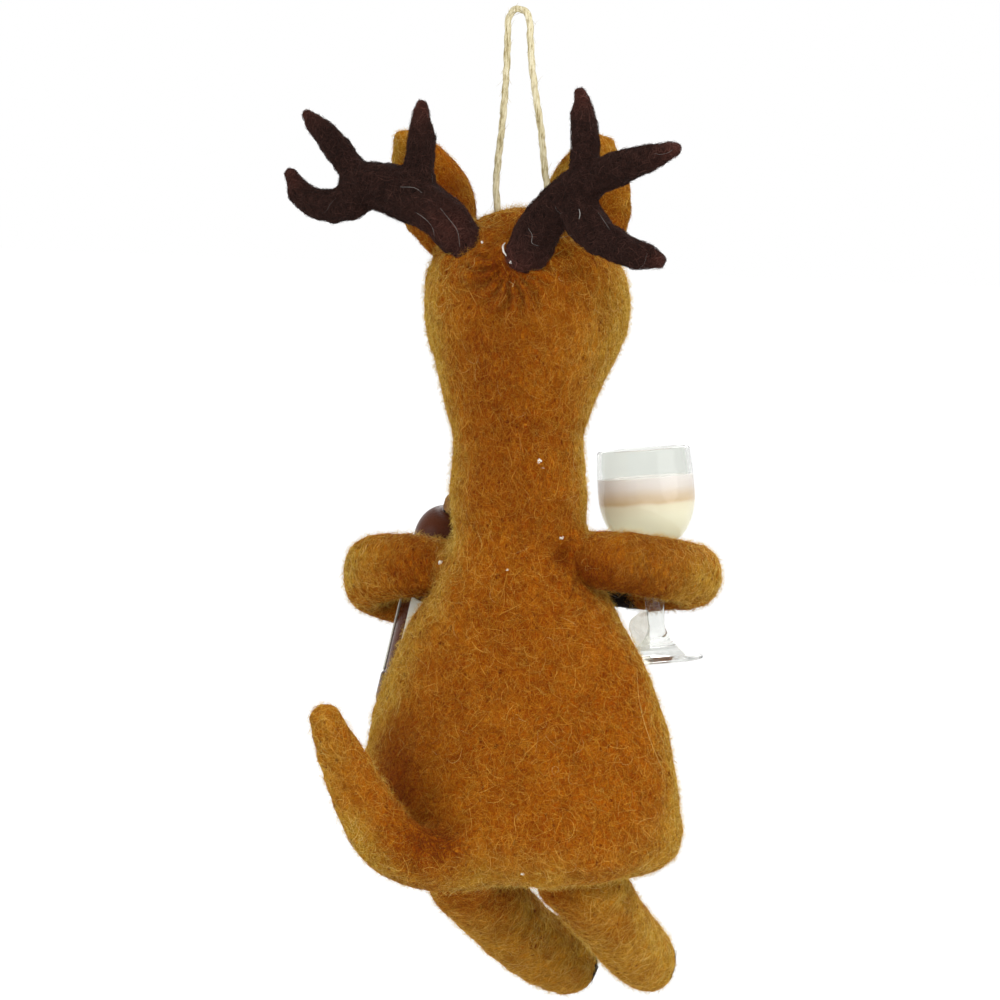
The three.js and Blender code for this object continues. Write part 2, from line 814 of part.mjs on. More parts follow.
// Legs: each curve starts at the hip's pivot and runs forward and down to the hoof
function legOf({ side, aside, radius, inward, forward, drop, path }) {
  const places = path.map(
    ([across, ahead, down]) => new THREE.Vector3(-side * inward * across, -forward * ahead, -drop * down),
  );
  const rows = legSectionShares.map(([along, ofHip, ofLeg]) => {
    const reach = ofHip * hipRadius + ofLeg * radius;
    return [along, reach, reach];
  });
  const pivot = new THREE.Vector3(side * aside, -hipForward, -torsoHeight - hipDrop);
  return { curve: new THREE.CatmullRomCurve3(places), rows, pivot };
}
const legs = {
  left: legOf(leftLeg),
  right: legOf(rightLeg),
};
function legForm({ curve, rows }, start, end, grow = 0, steps = legSteps) {
  return limbForm({ curve, rows, up: left, sides: legSides, steps, start, end, grow });
}

// The hoof is the front of the leg's rounded end, past an upright plane, so that wool covers it from behind
function legMeshes(name, leg) {
  const hoofBack = backHoofSetForward - leg.curve.getPointAt(1).y;
  const whole = solidFrom(legForm(leg, 0, 1));
  const wireEnd = 1 - legWireShort / leg.curve.getLength();
  const bore = wireIn(leg.curve, wireEnd, hipRadius + feltGap, wireGap);
  const limb = whole.trimByPlane([0, 1, 0], feltGap - hoofBack).subtract(bore);
  const hoof = whole.trimByPlane([0, -1, 0], hoofBack);
  const wire = wireIn(leg.curve, wireEnd - feltGap / leg.curve.getLength(), hipRadius - seatGap, 0);
  return [
    meshOf(name + "_leg", limb, wool),
    meshOf(name + "_back_hoof", hoof, blackWool),
    meshOf(name + "_leg_wire", wire, steel),
  ];
}

// Armature wires across the torso. Each bore runs from one limb's pivot to the other's, and the wire stops short.
const shoulderWireCurve = new THREE.LineCurve3(arms.right.pivot, arms.left.pivot);
const hipWireCurve = (() => {
  const rise = new THREE.Vector3(0, hipWireBack, hipWireRise - hipWireDip);
  const shoulders = [legs.right, legs.left].map(({ pivot }) =>
    pivot.clone().multiply(new THREE.Vector3(hipWireShoulderShare, 1, 1)).add(rise),
  );
  const middle = shoulders[0].clone().lerp(shoulders[1], 1 / 2).addScaledVector(up, hipWireDip);
  return new THREE.CatmullRomCurve3([legs.right.pivot, shoulders[0], middle, shoulders[1], legs.left.pivot]);
})();

function torsoWire(curve, inset, grow) {
  const short = inset / curve.getLength();
  return solidFrom(tubeAlong(stretchOf(curve, short, 1 - short), wireDiameter / 2 + grow, wireSteps, wireSides));
}

// The hollow that an arm turns in, round about the upright axis through its pivot
function shoulderSocket({ pivot, rise }) {
  const socket = new THREE.CapsuleGeometry(shoulderRadius + socketGap, 2 * (rise - shoulderRadius), 4, 18);
  return solidFrom(socket.rotateX(Math.PI / 2).translate(...pivot));
}

function torsoSolid() {
  let torso = solidFrom(hangingForm(torsoShape));
  for (const arm of Object.values(arms)) torso = torso.subtract(shoulderSocket(arm));
  for (const leg of Object.values(legs)) {
    const socket = legForm(leg, 0, legSocketShare, feltGap, legSteps * legSocketShare);
    torso = torso.subtract(solidFrom(socket.translate(...leg.pivot)));
  }
  const bores = torsoWire(shoulderWireCurve, 0, wireGap).add(torsoWire(hipWireCurve, 0, wireGap));
  return largestOf(torso.subtract(bores));
}

const grownTorso = solidFrom(hangingForm({ ...torsoShape, grow: feltGap }));

function neckSolid() {
  const top = new THREE.Vector3(0, 0, neckLength + neckRoot);
  const foot = new THREE.Vector3(0, 0, -neckRoot);
  const rows = [
    [0, neckDiameter / 2, neckDiameter / 2],
    [1, neckDiameter / 2, neckDiameter / 2],
  ];
  const curve = new THREE.LineCurve3(foot, top);
  const shape = { curve, rows, up: left, sides: neckSides, steps: 2, roundShare: neckRoundShare };
  const headAbove = grownHead.translate([headAside, 0, headHeight + neckLength]);
  let neck = solidFrom(limbForm(shape)).subtract(headAbove).subtract(grownTorso);
  for (const arm of Object.values(arms)) neck = neck.subtract(shoulderSocket(arm));
  return largestOf(neck);
}

function tailSolid() {
  const root = pointOnForm(torsoShape, tailRootDownShare, Math.PI);
  const rows = tailSizeShares.map(([along, wide, thick]) => [
    along,
    (wide * tailWidth) / 2,
    (thick * tailThickness) / 2,
  ]);
  const curve = curveOf(tailPathShares, tailLength);
  const flat = new THREE.Vector3(...tailFlatShares).normalize();
  const form = limbForm({ curve, rows, up: flat, sides: tailSides, steps: 12 });
  return solidFrom(form.translate(...root)).subtract(grownTorso);
}

// Bottle, its cork and its bare label, standing on z = 0
function bottleGroup() {
  const shoulder = bottleLength - bottleDome;
  const labelInside = bottleRadius - labelThickness;
  const recess = labelInside - seatGap;
  const mouth = corkPlugRadius + seatGap;
  const labelTop = labelFoot + labelHeight;
  const profile = [
    [0, 0],
    [bottleRadius - bottleFootRound, 0],
    [bottleRadius, bottleFootRound],
    [bottleRadius, labelFoot - seatGap],
    [recess, labelFoot - seatGap],
    [recess, labelTop + seatGap],
    [bottleRadius, labelTop + seatGap],
  ];
  for (let i = 0; i < domeSteps; i++) {
    const angle = ((i / domeSteps) * Math.PI) / 2;
    const radius = corkRadius + (bottleRadius - corkRadius) * Math.cos(angle);
    profile.push([radius, shoulder + bottleDome * Math.sin(angle)]);
  }
  profile.push([corkRadius, bottleLength]);
  profile.push([mouth, bottleLength]);
  profile.push([mouth, bottleLength - corkPlug - seatGap]);
  profile.push([0, bottleLength - corkPlug - seatGap]);
  const bottle = solidFrom(turned(profile, bottleSides));
  const cork = turned(
    [
      [0, -corkPlug],
      [corkPlugRadius, -corkPlug],
      [corkPlugRadius, seatGap],
      [corkRadius, seatGap],
      [corkRadius * corkTaperShare, corkHeight],
      [0, corkHeight],
    ],
    bottleSides,
  ).translate(0, 0, bottleLength);
  const wrap = new THREE.Shape();
  wrap.absarc(0, 0, bottleRadius, labelStart, labelStart + labelTurn, false);
  wrap.absarc(0, 0, labelInside, labelStart + labelTurn, labelStart, true);
  wrap.closePath();
  const label = new THREE.ExtrudeGeometry(wrap, { depth: labelHeight, bevelEnabled: false, curveSegments: 26 });
  label.translate(0, 0, labelFoot);
  return new THREE.Group().add(
    meshOf("bottle", bottle, brownGloss),
    meshOf("cork", solidFrom(cork), corkTan),
    meshOf("bottle_label", solidFrom(label), cream),
  );
}

// Half width of the bowl's outside at a height above the bowl's foot
function bowlRadiusAt(height) {
  const belly = bowlBellyShare * bowlHeight;
  if (height < belly) return stemRadius + (bowlRadius - stemRadius) * Math.sqrt(1 - (1 - height / belly) ** 2);
  const above = (height - belly) / (bowlHeight - belly);
  return bowlRadius - (bowlRadius - rimRadius) * above ** 2;
}

// Points [radius, height] up the bowl between two heights, set back from its outside
function bowlProfile(from, to, setBack, steps) {
  return Array.from({ length: steps + 1 }, (_, i) => {
    const height = from + (to - from) * Math.sin(((i / steps) * Math.PI) / 2) ** bowlStepPower;
    return [Math.max(bowlRadiusAt(height) - setBack, 0), height];
  });
}

// Wine glass with its cast wine, standing on z = 0
function glassGroup() {
  const bowlFoot = glassHeight - bowlHeight;
  const raised = (profile) => profile.map(([radius, height]) => [radius, height + bowlFoot]);
  const foot = [
    [0, 0],
    [footRadius, 0],
    [footRadius, footThickness * footEdgeShare],
  ];
  for (let i = 0; i <= flareSteps; i++) {
    const share = i / flareSteps;
    const radius = stemRadius + (footRadius * footFlareShare - stemRadius) * (1 - share) ** footFlarePower;
    foot.push([radius, footThickness + (footFlareHeight - footThickness) * share]);
  }
  const floor = glassWall * bowlFloorShare;
  const outside = raised(bowlProfile(0, bowlHeight, 0, glassSteps));
  const inside = raised(bowlProfile(floor, bowlHeight, glassWall, glassSteps)).reverse();
  const glass = solidFrom(turned([...foot, ...outside, ...inside, [0, bowlFoot + floor]], glassSides));
  const wineTop = bowlHeight * wineDepthShare;
  const fill = raised(bowlProfile(floor + seatGap, wineTop, glassWall + seatGap, glassSteps));
  const wineProfile = [[0, bowlFoot + floor + seatGap], ...fill, [0, bowlFoot + wineTop]];
  const wine = solidFrom(turned(wineProfile, glassSides));
  return new THREE.Group().add(meshOf("wine_glass", glass, clear), meshOf("wine", wine, wineTone));
}

// A held piece stands so that its grip, a share of its height up its axis, is at a place in the arm's frame
function holdAt(group, grip, place, leanSide, leanFront) {
  group.rotation.set(leanFront, leanSide, 0);
  const below = new THREE.Vector3(0, 0, grip).applyEuler(group.rotation);
  group.position.copy(place).sub(below);
  return group;
}

function heldBottle() {
  const bend = leftArmHook / 2;
  const middle = new THREE.Vector3(leftArmReach - bend, -bend, -leftArmDroop / 2);
  return holdAt(bottleGroup(), bottleLength * bottleGripShare, middle, -bottleLeanSide, -bottleLeanFront);
}

function heldGlass() {
  const bend = rightArmHook / 2;
  const stemReach = bend - rightArmHalfWidth - feltGap - stemRadius;
  const ahead = bend + Math.sqrt(stemReach ** 2 - glassOutward ** 2);
  const place = new THREE.Vector3(bend - rightArmReach - glassOutward, -ahead, -rightArmDroop);
  return holdAt(glassGroup(), glassHeight * glassGripShare, place, glassLeanSide, glassLeanFront);
}

// The whole ornament
const ornament = new THREE.Group();
ornament.add(meshOf("hanging_loop", twineSolid(loopCurve), jute), meshOf("loop_knot", knotSolid(), jute));

ornament.add(
  groupAt(
    headPlace,
    meshOf("head", headSolid(), wool),
    ...faceMeshes(),
    earMesh("left_ear", leftEar),
    earMesh("right_ear", rightEar),
    ...antlerMeshes(leftAntler),
    ...antlerMeshes(rightAntler),
  ),
);

ornament.add(
  groupAt(
    torsoPlace,
    meshOf("neck", neckSolid(), wool),
    meshOf("torso", torsoSolid(), wool),
    meshOf("tail", tailSolid(), wool),
    meshOf("shoulder_wire", torsoWire(shoulderWireCurve, shoulderRadius + socketGap, 0), steel),
    meshOf("hip_wire", torsoWire(hipWireCurve, hipRadius + 2 * feltGap, 0), steel),
    groupAt(arms.left.pivot, ...armMeshes("left", arms.left), heldBottle()),
    groupAt(arms.right.pivot, ...armMeshes("right", arms.right), heldGlass()),
    groupAt(legs.left.pivot, ...legMeshes("left", legs.left)),
    groupAt(legs.right.pivot, ...legMeshes("right", legs.right)),
  ),
);

export default ornament;
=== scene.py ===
"""Looks of the felted reindeer ornament: wool skins with real fibres, twine, glass, wine, bottle and glue."""

import json
import math

import bmesh
import bpy
import numpy as np
from mathutils import Matrix, Vector, noise
from mathutils.bvhtree import BVHTree


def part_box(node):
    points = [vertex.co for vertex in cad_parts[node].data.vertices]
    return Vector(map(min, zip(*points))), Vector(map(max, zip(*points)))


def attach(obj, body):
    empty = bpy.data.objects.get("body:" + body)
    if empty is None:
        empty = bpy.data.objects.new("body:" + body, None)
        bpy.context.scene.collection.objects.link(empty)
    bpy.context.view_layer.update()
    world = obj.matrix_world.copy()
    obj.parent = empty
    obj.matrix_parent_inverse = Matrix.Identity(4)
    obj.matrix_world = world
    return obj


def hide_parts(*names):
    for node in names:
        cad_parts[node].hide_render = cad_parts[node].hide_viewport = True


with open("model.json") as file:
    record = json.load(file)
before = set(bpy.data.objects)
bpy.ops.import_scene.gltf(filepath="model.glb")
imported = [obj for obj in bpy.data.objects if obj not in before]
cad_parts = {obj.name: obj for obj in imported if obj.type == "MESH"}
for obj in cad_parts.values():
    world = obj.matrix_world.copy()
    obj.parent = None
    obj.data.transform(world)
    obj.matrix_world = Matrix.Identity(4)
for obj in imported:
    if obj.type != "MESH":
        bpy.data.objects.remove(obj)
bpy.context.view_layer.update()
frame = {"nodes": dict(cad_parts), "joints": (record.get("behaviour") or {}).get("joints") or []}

MM = 0.001
SIDES = ("left", "right")


def mm(x, y, z):
    return Vector((x, y, z)) * MM


def link(name, data):
    piece = bpy.data.objects.new(name, data)
    bpy.context.scene.collection.objects.link(piece)
    return piece


def facing(place, target):
    """The turn of a camera or lamp at a place that looks at a target."""
    return (target - place).to_track_quat("-Z", "Y")


def stand(name, data, place, target):
    """Puts up a camera or lamp at a place, turned to a target."""
    thing = link(name, data)
    thing.location = place
    thing.rotation_euler = facing(place, target).to_euler()
    return thing


# Camera, at the photograph's angle
EYE = mm(-420.80, 909.83, 41.46)
AIM = mm(-1.331, 10.273, -80.411)
LENS = 218.18
SENSOR = 36
FRAME_PX = 1000


def add_camera():
    data = bpy.data.cameras.new("photo_camera")
    data.lens = LENS
    data.sensor_width = SENSOR
    data.clip_start = 0.05
    data.clip_end = 50
    bpy.context.scene.camera = stand("photo_camera", data, EYE, AIM)


add_camera()


def pixel_ray(x, y):
    """The direction from the eye through a pixel of the photograph's frame."""
    focal = LENS / SENSOR * FRAME_PX
    return (facing(EYE, AIM) @ Vector((x - FRAME_PX / 2, FRAME_PX / 2 - y, -focal))).normalized()


# Meshes
def shaded(mesh, smooth=True):
    mesh.polygons.foreach_set("use_smooth", np.full(len(mesh.polygons), smooth))
    return mesh


def faces_of(*corners):
    """Faces as one array, from an array for each of their corners."""
    return np.stack([np.ravel(corner) for corner in corners], axis=-1)


def from_points(name, points, faces, smooth=True):
    """A piece from points and arrays of faces. Each array holds faces with the same number of corners."""
    mesh = bpy.data.meshes.new(name)
    mesh.vertices.add(len(points))
    mesh.vertices.foreach_set("co", np.asarray(points, np.float32).ravel())
    corners = np.concatenate([f.ravel() for f in faces]).astype(np.int32)
    counts = np.concatenate([np.full(len(f), f.shape[1]) for f in faces])
    starts = np.concatenate([[0], np.cumsum(counts)[:-1]]).astype(np.int32)
    mesh.loops.add(len(corners))
    mesh.loops.foreach_set("vertex_index", corners)
    mesh.polygons.add(len(starts))
    mesh.polygons.foreach_set("loop_start", starts)
    mesh.update(calc_edges=True)
    mesh.validate()
    return link(name, shaded(mesh, smooth))


def from_bmesh(name, shape):
    """A piece from a bmesh, which is freed."""
    mesh = bpy.data.meshes.new(name)
    shape.to_mesh(mesh)
    shape.free()
    return link(name, shaded(mesh))


def unit(vectors):
    return vectors / np.maximum(np.linalg.norm(vectors, axis=-1, keepdims=True), 1e-12)


def tubes(lines, radii, sides):
    """Points and faces of closed tubes. lines is (tubes, points, 3) and radii is (tubes, points)."""
    count, steps, _ = lines.shape
    ahead = unit(np.gradient(lines, axis=1))
    helper = np.where(np.abs(ahead[:, 0, 2:3]) < 0.8, [[0, 0, 1]], [[1, 0, 0]])
    side = unit(np.cross(ahead[:, 0], helper))
    rings = np.empty((count, steps, sides, 3))
    for k in range(steps):
        along = ahead[:, k]
        side = unit(side - (side * along).sum(1, keepdims=True) * along)
        up = np.cross(along, side)
        for s in range(sides):
            angle = 2 * math.pi * s / sides
            way = math.cos(angle) * side + math.sin(angle) * up
            rings[:, k, s] = lines[:, k] + radii[:, k, None] * way
    ring = np.arange(count * steps * sides).reshape(count, steps, sides)
    after = np.roll(ring, -1, axis=2)
    walls = faces_of(ring[:, :-1], after[:, :-1], after[:, 1:], ring[:, 1:])
    return rings.reshape(-1, 3), [walls, ring[:, 0, ::-1], ring[:, -1]]


def smooth_path(points, per_span):
    """Points along the centripetal curve through the given points, as an array."""
    ends = [points[0] * 2 - points[1], *points, points[-1] * 2 - points[-2]]
    path = []
    for a, b, c, d in zip(ends, ends[1:], ends[2:], ends[3:]):
        at = [0.0]
        for p, q in ((a, b), (b, c), (c, d)):
            at.append(at[-1] + math.sqrt((q - p).length))

        def between(p, q, i, j):
            return p.lerp(q, (t - at[i]) / (at[j] - at[i]))

        for k in range(per_span):
            t = at[1] + (at[2] - at[1]) * k / per_span
            ab, bc, cd = between(a, b, 0, 1), between(b, c, 1, 2), between(c, d, 2, 3)
            path.append(between(between(ab, bc, 0, 2), between(bc, cd, 1, 3), 1, 2))
    path.append(points[-1])
    return np.array([list(p) for p in path])


def remeshed(name, shape, voxel, soften):
    """A piece from a bmesh, remeshed as one skin with this voxel in millimetres and softened."""
    piece = from_bmesh(name, shape)
    remesh = piece.modifiers.new("remesh", "REMESH")
    remesh.mode = "VOXEL"
    remesh.voxel_size = voxel * MM
    remesh.use_smooth_shade = True
    smooth = piece.modifiers.new("soften", "SMOOTH")
    smooth.factor = 0.5
    smooth.iterations = soften
    graph = bpy.context.evaluated_depsgraph_get()
    old, piece.data = piece.data, bpy.data.meshes.new_from_object(piece.evaluated_get(graph))
    piece.modifiers.clear()
    bpy.data.meshes.remove(old)
    return piece


def dressed(piece, material, body, slot, *nodes):
    """Gives a piece its material and body, and hides the solids that it stands for. slot is not used."""
    piece.data.materials.clear()
    piece.data.materials.append(material)
    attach(piece, body)
    if nodes:
        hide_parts(*nodes)
    return piece


# Shaders
def linear(value):
    """A channel as a screen shows it, 0 to 255, as a linear level."""
    share = value / 255
    return share / 12.92 if share <= 0.04045 else ((share + 0.055) / 1.055) ** 2.4


def put(value):
    """What a socket takes: a tuple is a colour as a screen shows it, and the rest stays as it is."""
    return (*map(linear, value), 1) if isinstance(value, tuple) else value


class Shader:
    """The nodes of a material or of the world."""

    def __init__(self, name, kind=bpy.data.materials):
        self.owner = kind.new(name)
        self.owner.use_nodes = True
        self.tree = self.owner.node_tree
        self.tree.nodes.clear()

    def add(self, kind, puts=None, out=0, **settings):
        """Adds a node, fills its inputs with values or links, and returns one of its outputs, or the node."""
        node = self.tree.nodes.new("ShaderNode" + kind)
        for key, value in settings.items():
            setattr(node, key, value)
        for key, value in (puts or {}).items():
            socket = node.inputs[key]
            if isinstance(value, bpy.types.NodeSocket):
                self.tree.links.new(value, socket)
            else:
                socket.default_value = value
        return node.outputs[out] if out is not None else node

    def place(self):
        return self.add("TexCoord", out="Object")

    def stretched(self, place, scale, turn=(0, 0, 0)):
        """Places for a texture with this many features a metre along each axis of a turned frame."""
        puts = {"Vector": place, "Scale": tuple(1 / s for s in scale), "Rotation": turn}
        return self.add("Mapping", puts, vector_type="TEXTURE")

    def swayed(self, place, scale, reach):
        """Places pushed about by a soft noise, so that straight streaks bend as fibres do."""
        push = self.add("TexNoise", {"Vector": place, "Scale": scale, "Detail": 2.0}, out="Color")
        push = self.add("VectorMath", {0: push, 1: (0.5, 0.5, 0.5)}, operation="SUBTRACT")
        push = self.add("VectorMath", {0: push, "Scale": reach}, operation="SCALE")
        return self.add("VectorMath", {0: place, 1: push}, operation="ADD")

    def noise(self, place, scale, detail=4.0, rough=0.6):
        return self.add("TexNoise", {"Vector": place, "Scale": scale, "Detail": detail, "Roughness": rough})

    def cells(self, place, scale):
        return self.add("TexVoronoi", {"Vector": place, "Scale": scale}, out="Distance")

    def ramp(self, value, *stops):
        """Colours or grey levels along a value, each stop a place and a colour or a level."""
        node = self.add("ValToRGB", {"Fac": value}, out=None)
        band = node.color_ramp
        while len(band.elements) < len(stops):
            band.elements.new(0.5)
        for element, (place, colour) in zip(band.elements, stops):
            element.position = place
            element.color = put(colour) if isinstance(colour, tuple) else (colour, colour, colour, 1)
        return node.outputs[0]

    def mix(self, share, one, other):
        return self.add("Mix", {0: share, 6: put(one), 7: put(other)}, out=2, data_type="RGBA")

    def stored(self, name):
        """A number that the mesh keeps for each of its points."""
        return self.add("Attribute", out="Fac", attribute_name=name)

    def maths(self, how, one, other):
        return self.add("Math", {0: one, 1: other}, operation=how)

    def times(self, one, other):
        return self.maths("MULTIPLY", one, other)

    def finish(self, bump=None, **puts):
        """Ends in one Principled shader. bump is a height, a strength and a distance in metres."""
        puts = {key.replace("_", " "): put(value) for key, value in puts.items()}
        if bump:
            puts["Normal"] = self.add("Bump", dict(zip(("Height", "Strength", "Distance"), bump)))
        self.add("OutputMaterial", {"Surface": self.add("BsdfPrincipled", puts)}, out=None)
        return self.owner


FIBRE_TURNS = ((0.35, 0.1, 0), (-0.3, -0.3, 0), (0.8, 0.4, 0.2), (-0.7, 0.9, 0.5), (0.1, -0.8, 1.1))
FIBRES_ACROSS = 5200.0  # a metre
FIBRES_ALONG = 850.0


def streaks_of(s, place, turns, low, high):
    """The strongest of some layers of fine streaks, from 0 to 1."""
    lines = None
    for turn in turns:
        lie = s.stretched(place, (FIBRES_ACROSS, FIBRES_ACROSS, FIBRES_ALONG), turn)
        fine = s.ramp(s.noise(lie, 1.0, 2.0), (low, 0.0), (high, 1.0))
        lines = fine if lines is None else s.maths("MAXIMUM", lines, fine)
    return lines


def needle_pits(s, place):
    """Small dark holes that the felting needle leaves, some places with more of them."""
    bent = s.swayed(place, 700.0, 0.0012)
    dots = s.ramp(s.cells(s.stretched(bent, (650.0, 650.0, 480.0)), 1.0), (0.12, 1.0), (0.25, 0.0))
    return s.times(dots, s.ramp(s.noise(place, 150.0, 3.0), (0.42, 0.15), (0.58, 1.0)))


def wool_patches(s, place):
    """Soft patches of darker wool, from 0 to 1."""
    return s.ramp(s.noise(place, 230.0, 5.0, 0.68), (0.4, 1.0), (0.56, 0.0))


def felt_material(name, deep, main, light, edge, red, pit, sheen, tint):
    """Needled wool: drifting colour, fine crossing fibres, small dark needle pits and a soft sheen, with
    painted rim light at the sides and painted shade in the crease beside the tail.
    """
    s = Shader(name)
    place = s.place()
    colour = s.ramp(s.noise(place, 70.0), (0.36, deep), (0.6, main))
    # Painted rim light towards the edge colour; painted shade in the tail's crease and red tone towards the
    # red colour
    colour = s.mix(s.times(s.stored("ochre"), 0.85), colour, edge)
    colour = s.mix(s.times(s.stored("red"), 0.85), colour, red)
    bent = s.swayed(place, 420.0, 0.0022)
    dark = streaks_of(s, bent, FIBRE_TURNS[2:4], 0.53, 0.66)
    colour = s.mix(s.times(dark, 0.6), colour, pit)
    mottle = s.noise(bent, 1300.0, 4.0, 0.7)
    colour = s.mix(s.ramp(mottle, (0.34, 0.75), (0.5, 0.0)), colour, deep)
    fine = streaks_of(s, bent, (*FIBRE_TURNS[:2], FIBRE_TURNS[4]), 0.54, 0.68)
    colour = s.mix(s.times(fine, 0.55), colour, light)
    colour = s.mix(s.times(wool_patches(s, place), 0.4), colour, deep)
    pits = needle_pits(s, place)
    colour = s.mix(s.times(pits, 0.9), colour, pit)
    height = s.maths("ADD", s.times(mottle, 0.7), s.times(fine, 0.5))
    return s.finish(
        (s.maths("SUBTRACT", height, pits), 0.6, 0.0003),
        Base_Color=colour,
        Roughness=0.95,
        Specular_IOR_Level=0.06,
        Sheen_Weight=sheen,
        Sheen_Roughness=0.4,
        Sheen_Tint=tint,
    )


def strand_material(name, shades, ochre=None, red=None, pit=None):
    """Fibres, each with its own shade, that go towards the ochre of painted rim light, towards red and
    painted shade, and towards the pits as the wool below does.
    """
    s = Shader(name)
    place = s.place()
    tone = s.stored("tone")

    def range_of(colours):
        return s.ramp(tone, *[(i / (len(colours) - 1), colour) for i, colour in enumerate(colours)])

    colour = range_of(shades)
    # Painted rim light through the ochre share; painted shade in the tail's crease and red tone through the
    # red share
    if ochre:
        colour = s.mix(s.stored("ochre"), colour, range_of(ochre))
    if red:
        reds = range_of(red)
        colour = s.mix(s.stored("red"), colour, reds)
    if pit:
        colour = s.mix(s.times(wool_patches(s, place), 0.3), colour, reds)
        colour = s.mix(s.times(needle_pits(s, place), 0.85), colour, pit)
    wear = s.noise(place, 900.0, 2.0)
    colour = s.mix(s.ramp(wear, (0.4, 0.25), (0.6, 0.0)), colour, shades[0])
    rough = s.ramp(wear, (0.3, 0.8), (0.7, 0.6))
    return s.finish(Base_Color=colour, Roughness=rough, Specular_IOR_Level=0.1)


# For each slot: the felt's deep, main and light colours, then edge (painted rim light at the sides), red (the
# wool's red tone, and painted shade in the crease beside the tail) and pit, then the sheen and its tint
FELT_COLOURS = {
    "wool": [
        (138, 56, 2), (174, 92, 4), (216, 146, 30), (196, 150, 44), (118, 48, 3), (112, 38, 1),
        0.35, (226, 190, 84),
    ],
    "dark_wool": [
        (30, 17, 14), (44, 27, 22), (76, 50, 44), (50, 31, 26), (84, 46, 38), (16, 8, 6),
        0.12, (160, 106, 92),
    ],
    "black_wool": [
        (16, 12, 12), (28, 21, 21), (60, 50, 48), (28, 21, 21), (30, 20, 18), (8, 6, 6),
        0.12, (150, 140, 135),
    ],
}
FELTS = {slot: felt_material(f"{slot}_felt", *colours) for slot, colours in FELT_COLOURS.items()}
PIT = (106, 36, 2)
REDS_AND_SHADE = [(84, 28, 2), (112, 44, 3), (136, 60, 6), (172, 96, 22)]
WOOL_STRANDS = strand_material(
    "wool_strands",
    [(124, 50, 1), (165, 82, 3), (191, 106, 12), (220, 148, 40)],
    [(158, 108, 18), (192, 146, 40), (218, 180, 72), (240, 214, 128)],
    REDS_AND_SHADE,
    PIT,
)
GOLD_STRANDS = strand_material(
    "gold_strands",
    [(158, 76, 3), (192, 108, 12), (220, 146, 38), (246, 196, 90)],
    [(188, 132, 28), (214, 164, 54), (236, 196, 90), (250, 224, 144)],
    REDS_AND_SHADE,
    PIT,
)
# Halo fibres, lighter and yellower than the wool: painted rim light, as if the fibres were lit through from
# behind
RIM_LIT_HALO_STRANDS = strand_material(
    "rim_lit_halo_strands",
    [(186, 118, 16), (214, 154, 44), (240, 196, 96)],
    [(208, 166, 50), (230, 196, 90), (248, 228, 148)],
    [(112, 48, 4), (138, 66, 8), (176, 100, 26)],
)
DARK_STRANDS = strand_material(
    "dark_strands",
    [(24, 14, 11), (48, 30, 25), (92, 62, 54)],
    red=[(62, 32, 26), (92, 54, 46), (130, 84, 74)],
)
BLACK_STRANDS = strand_material("black_strands", [(12, 9, 9), (30, 24, 24), (72, 62, 60)])
PALE_STRANDS = strand_material("pale_strands", [(206, 150, 62), (226, 182, 98), (242, 214, 150)])
GREY_STRANDS = strand_material("grey_strands", [(120, 116, 112), (186, 184, 180), (236, 236, 232)])
# A coat's flat fibres, streaks and halo, for each slot
COATS = {
    "wool": (WOOL_STRANDS, GOLD_STRANDS, RIM_LIT_HALO_STRANDS),
    "dark_wool": (DARK_STRANDS,) * 3,
    "black_wool": (BLACK_STRANDS,) * 3,
}


def jute_material():
    s = Shader("jute")
    place = s.place()
    grain = s.noise(s.stretched(place, (3200.0, 3200.0, 260.0)), 1.0)
    colour = s.ramp(grain, (0.32, (140, 124, 82)), (0.46, (202, 190, 150)), (0.7, (230, 222, 194)))
    spots = s.ramp(s.noise(place, 900.0, 3.0), (0.55, 0.0), (0.75, 0.6))
    colour = s.mix(spots, colour, (156, 134, 88))
    return s.finish((grain, 0.6, 0.00015), Base_Color=colour, Roughness=0.8, Specular_IOR_Level=0.3)


def steel_material():
    s = Shader("wire_steel")
    grain = s.noise(s.stretched(s.place(), (3000.0, 3000.0, 300.0)), 1.0)
    colour = s.ramp(grain, (0.3, (150, 150, 150)), (0.7, (196, 196, 194)))
    return s.finish(Base_Color=colour, Metallic=1.0, Roughness=s.ramp(grain, (0.3, 0.3), (0.7, 0.45)))


def bottle_material():
    """Glossy dark brown plastic with faint flow marks and small scuffs."""
    s = Shader("brown_plastic")
    place = s.place()
    flow = s.noise(s.stretched(place, (90.0, 90.0, 40.0)), 1.0, 3.0)
    colour = s.ramp(flow, (0.3, (64, 27, 12)), (0.7, (90, 47, 25)))
    rough = s.ramp(s.noise(place, 1400.0, 6.0, 0.7), (0.45, 0.26), (0.75, 0.42))
    return s.finish((flow, 0.15, 0.0003), Base_Color=colour, Roughness=rough, Specular_IOR_Level=0.07)


def cork_material():
    s = Shader("cork")
    place = s.place()
    grain = s.noise(place, 1100.0, 5.0, 0.7)
    colour = s.ramp(grain, (0.32, (92, 56, 18)), (0.5, (136, 94, 38)), (0.7, (168, 124, 62)))
    colour = s.mix(s.ramp(s.cells(place, 1500.0), (0.1, 0.7), (0.3, 0.0)), colour, (92, 54, 24))
    return s.finish((grain, 0.6, 0.0002), Base_Color=colour, Roughness=0.85)


def paper_material():
    s = Shader("label_paper")
    place = s.place()
    pulp = s.noise(place, 1600.0, 6.0, 0.7)
    colour = s.ramp(s.noise(place, 120.0, 2.0), (0.35, (230, 230, 212)), (0.65, (244, 246, 236)))
    colour = s.mix(s.ramp(pulp, (0.55, 0.0), (0.8, 0.4)), colour, (206, 190, 156))
    return s.finish((pulp, 0.25, 0.0001), Base_Color=colour, Roughness=0.7)


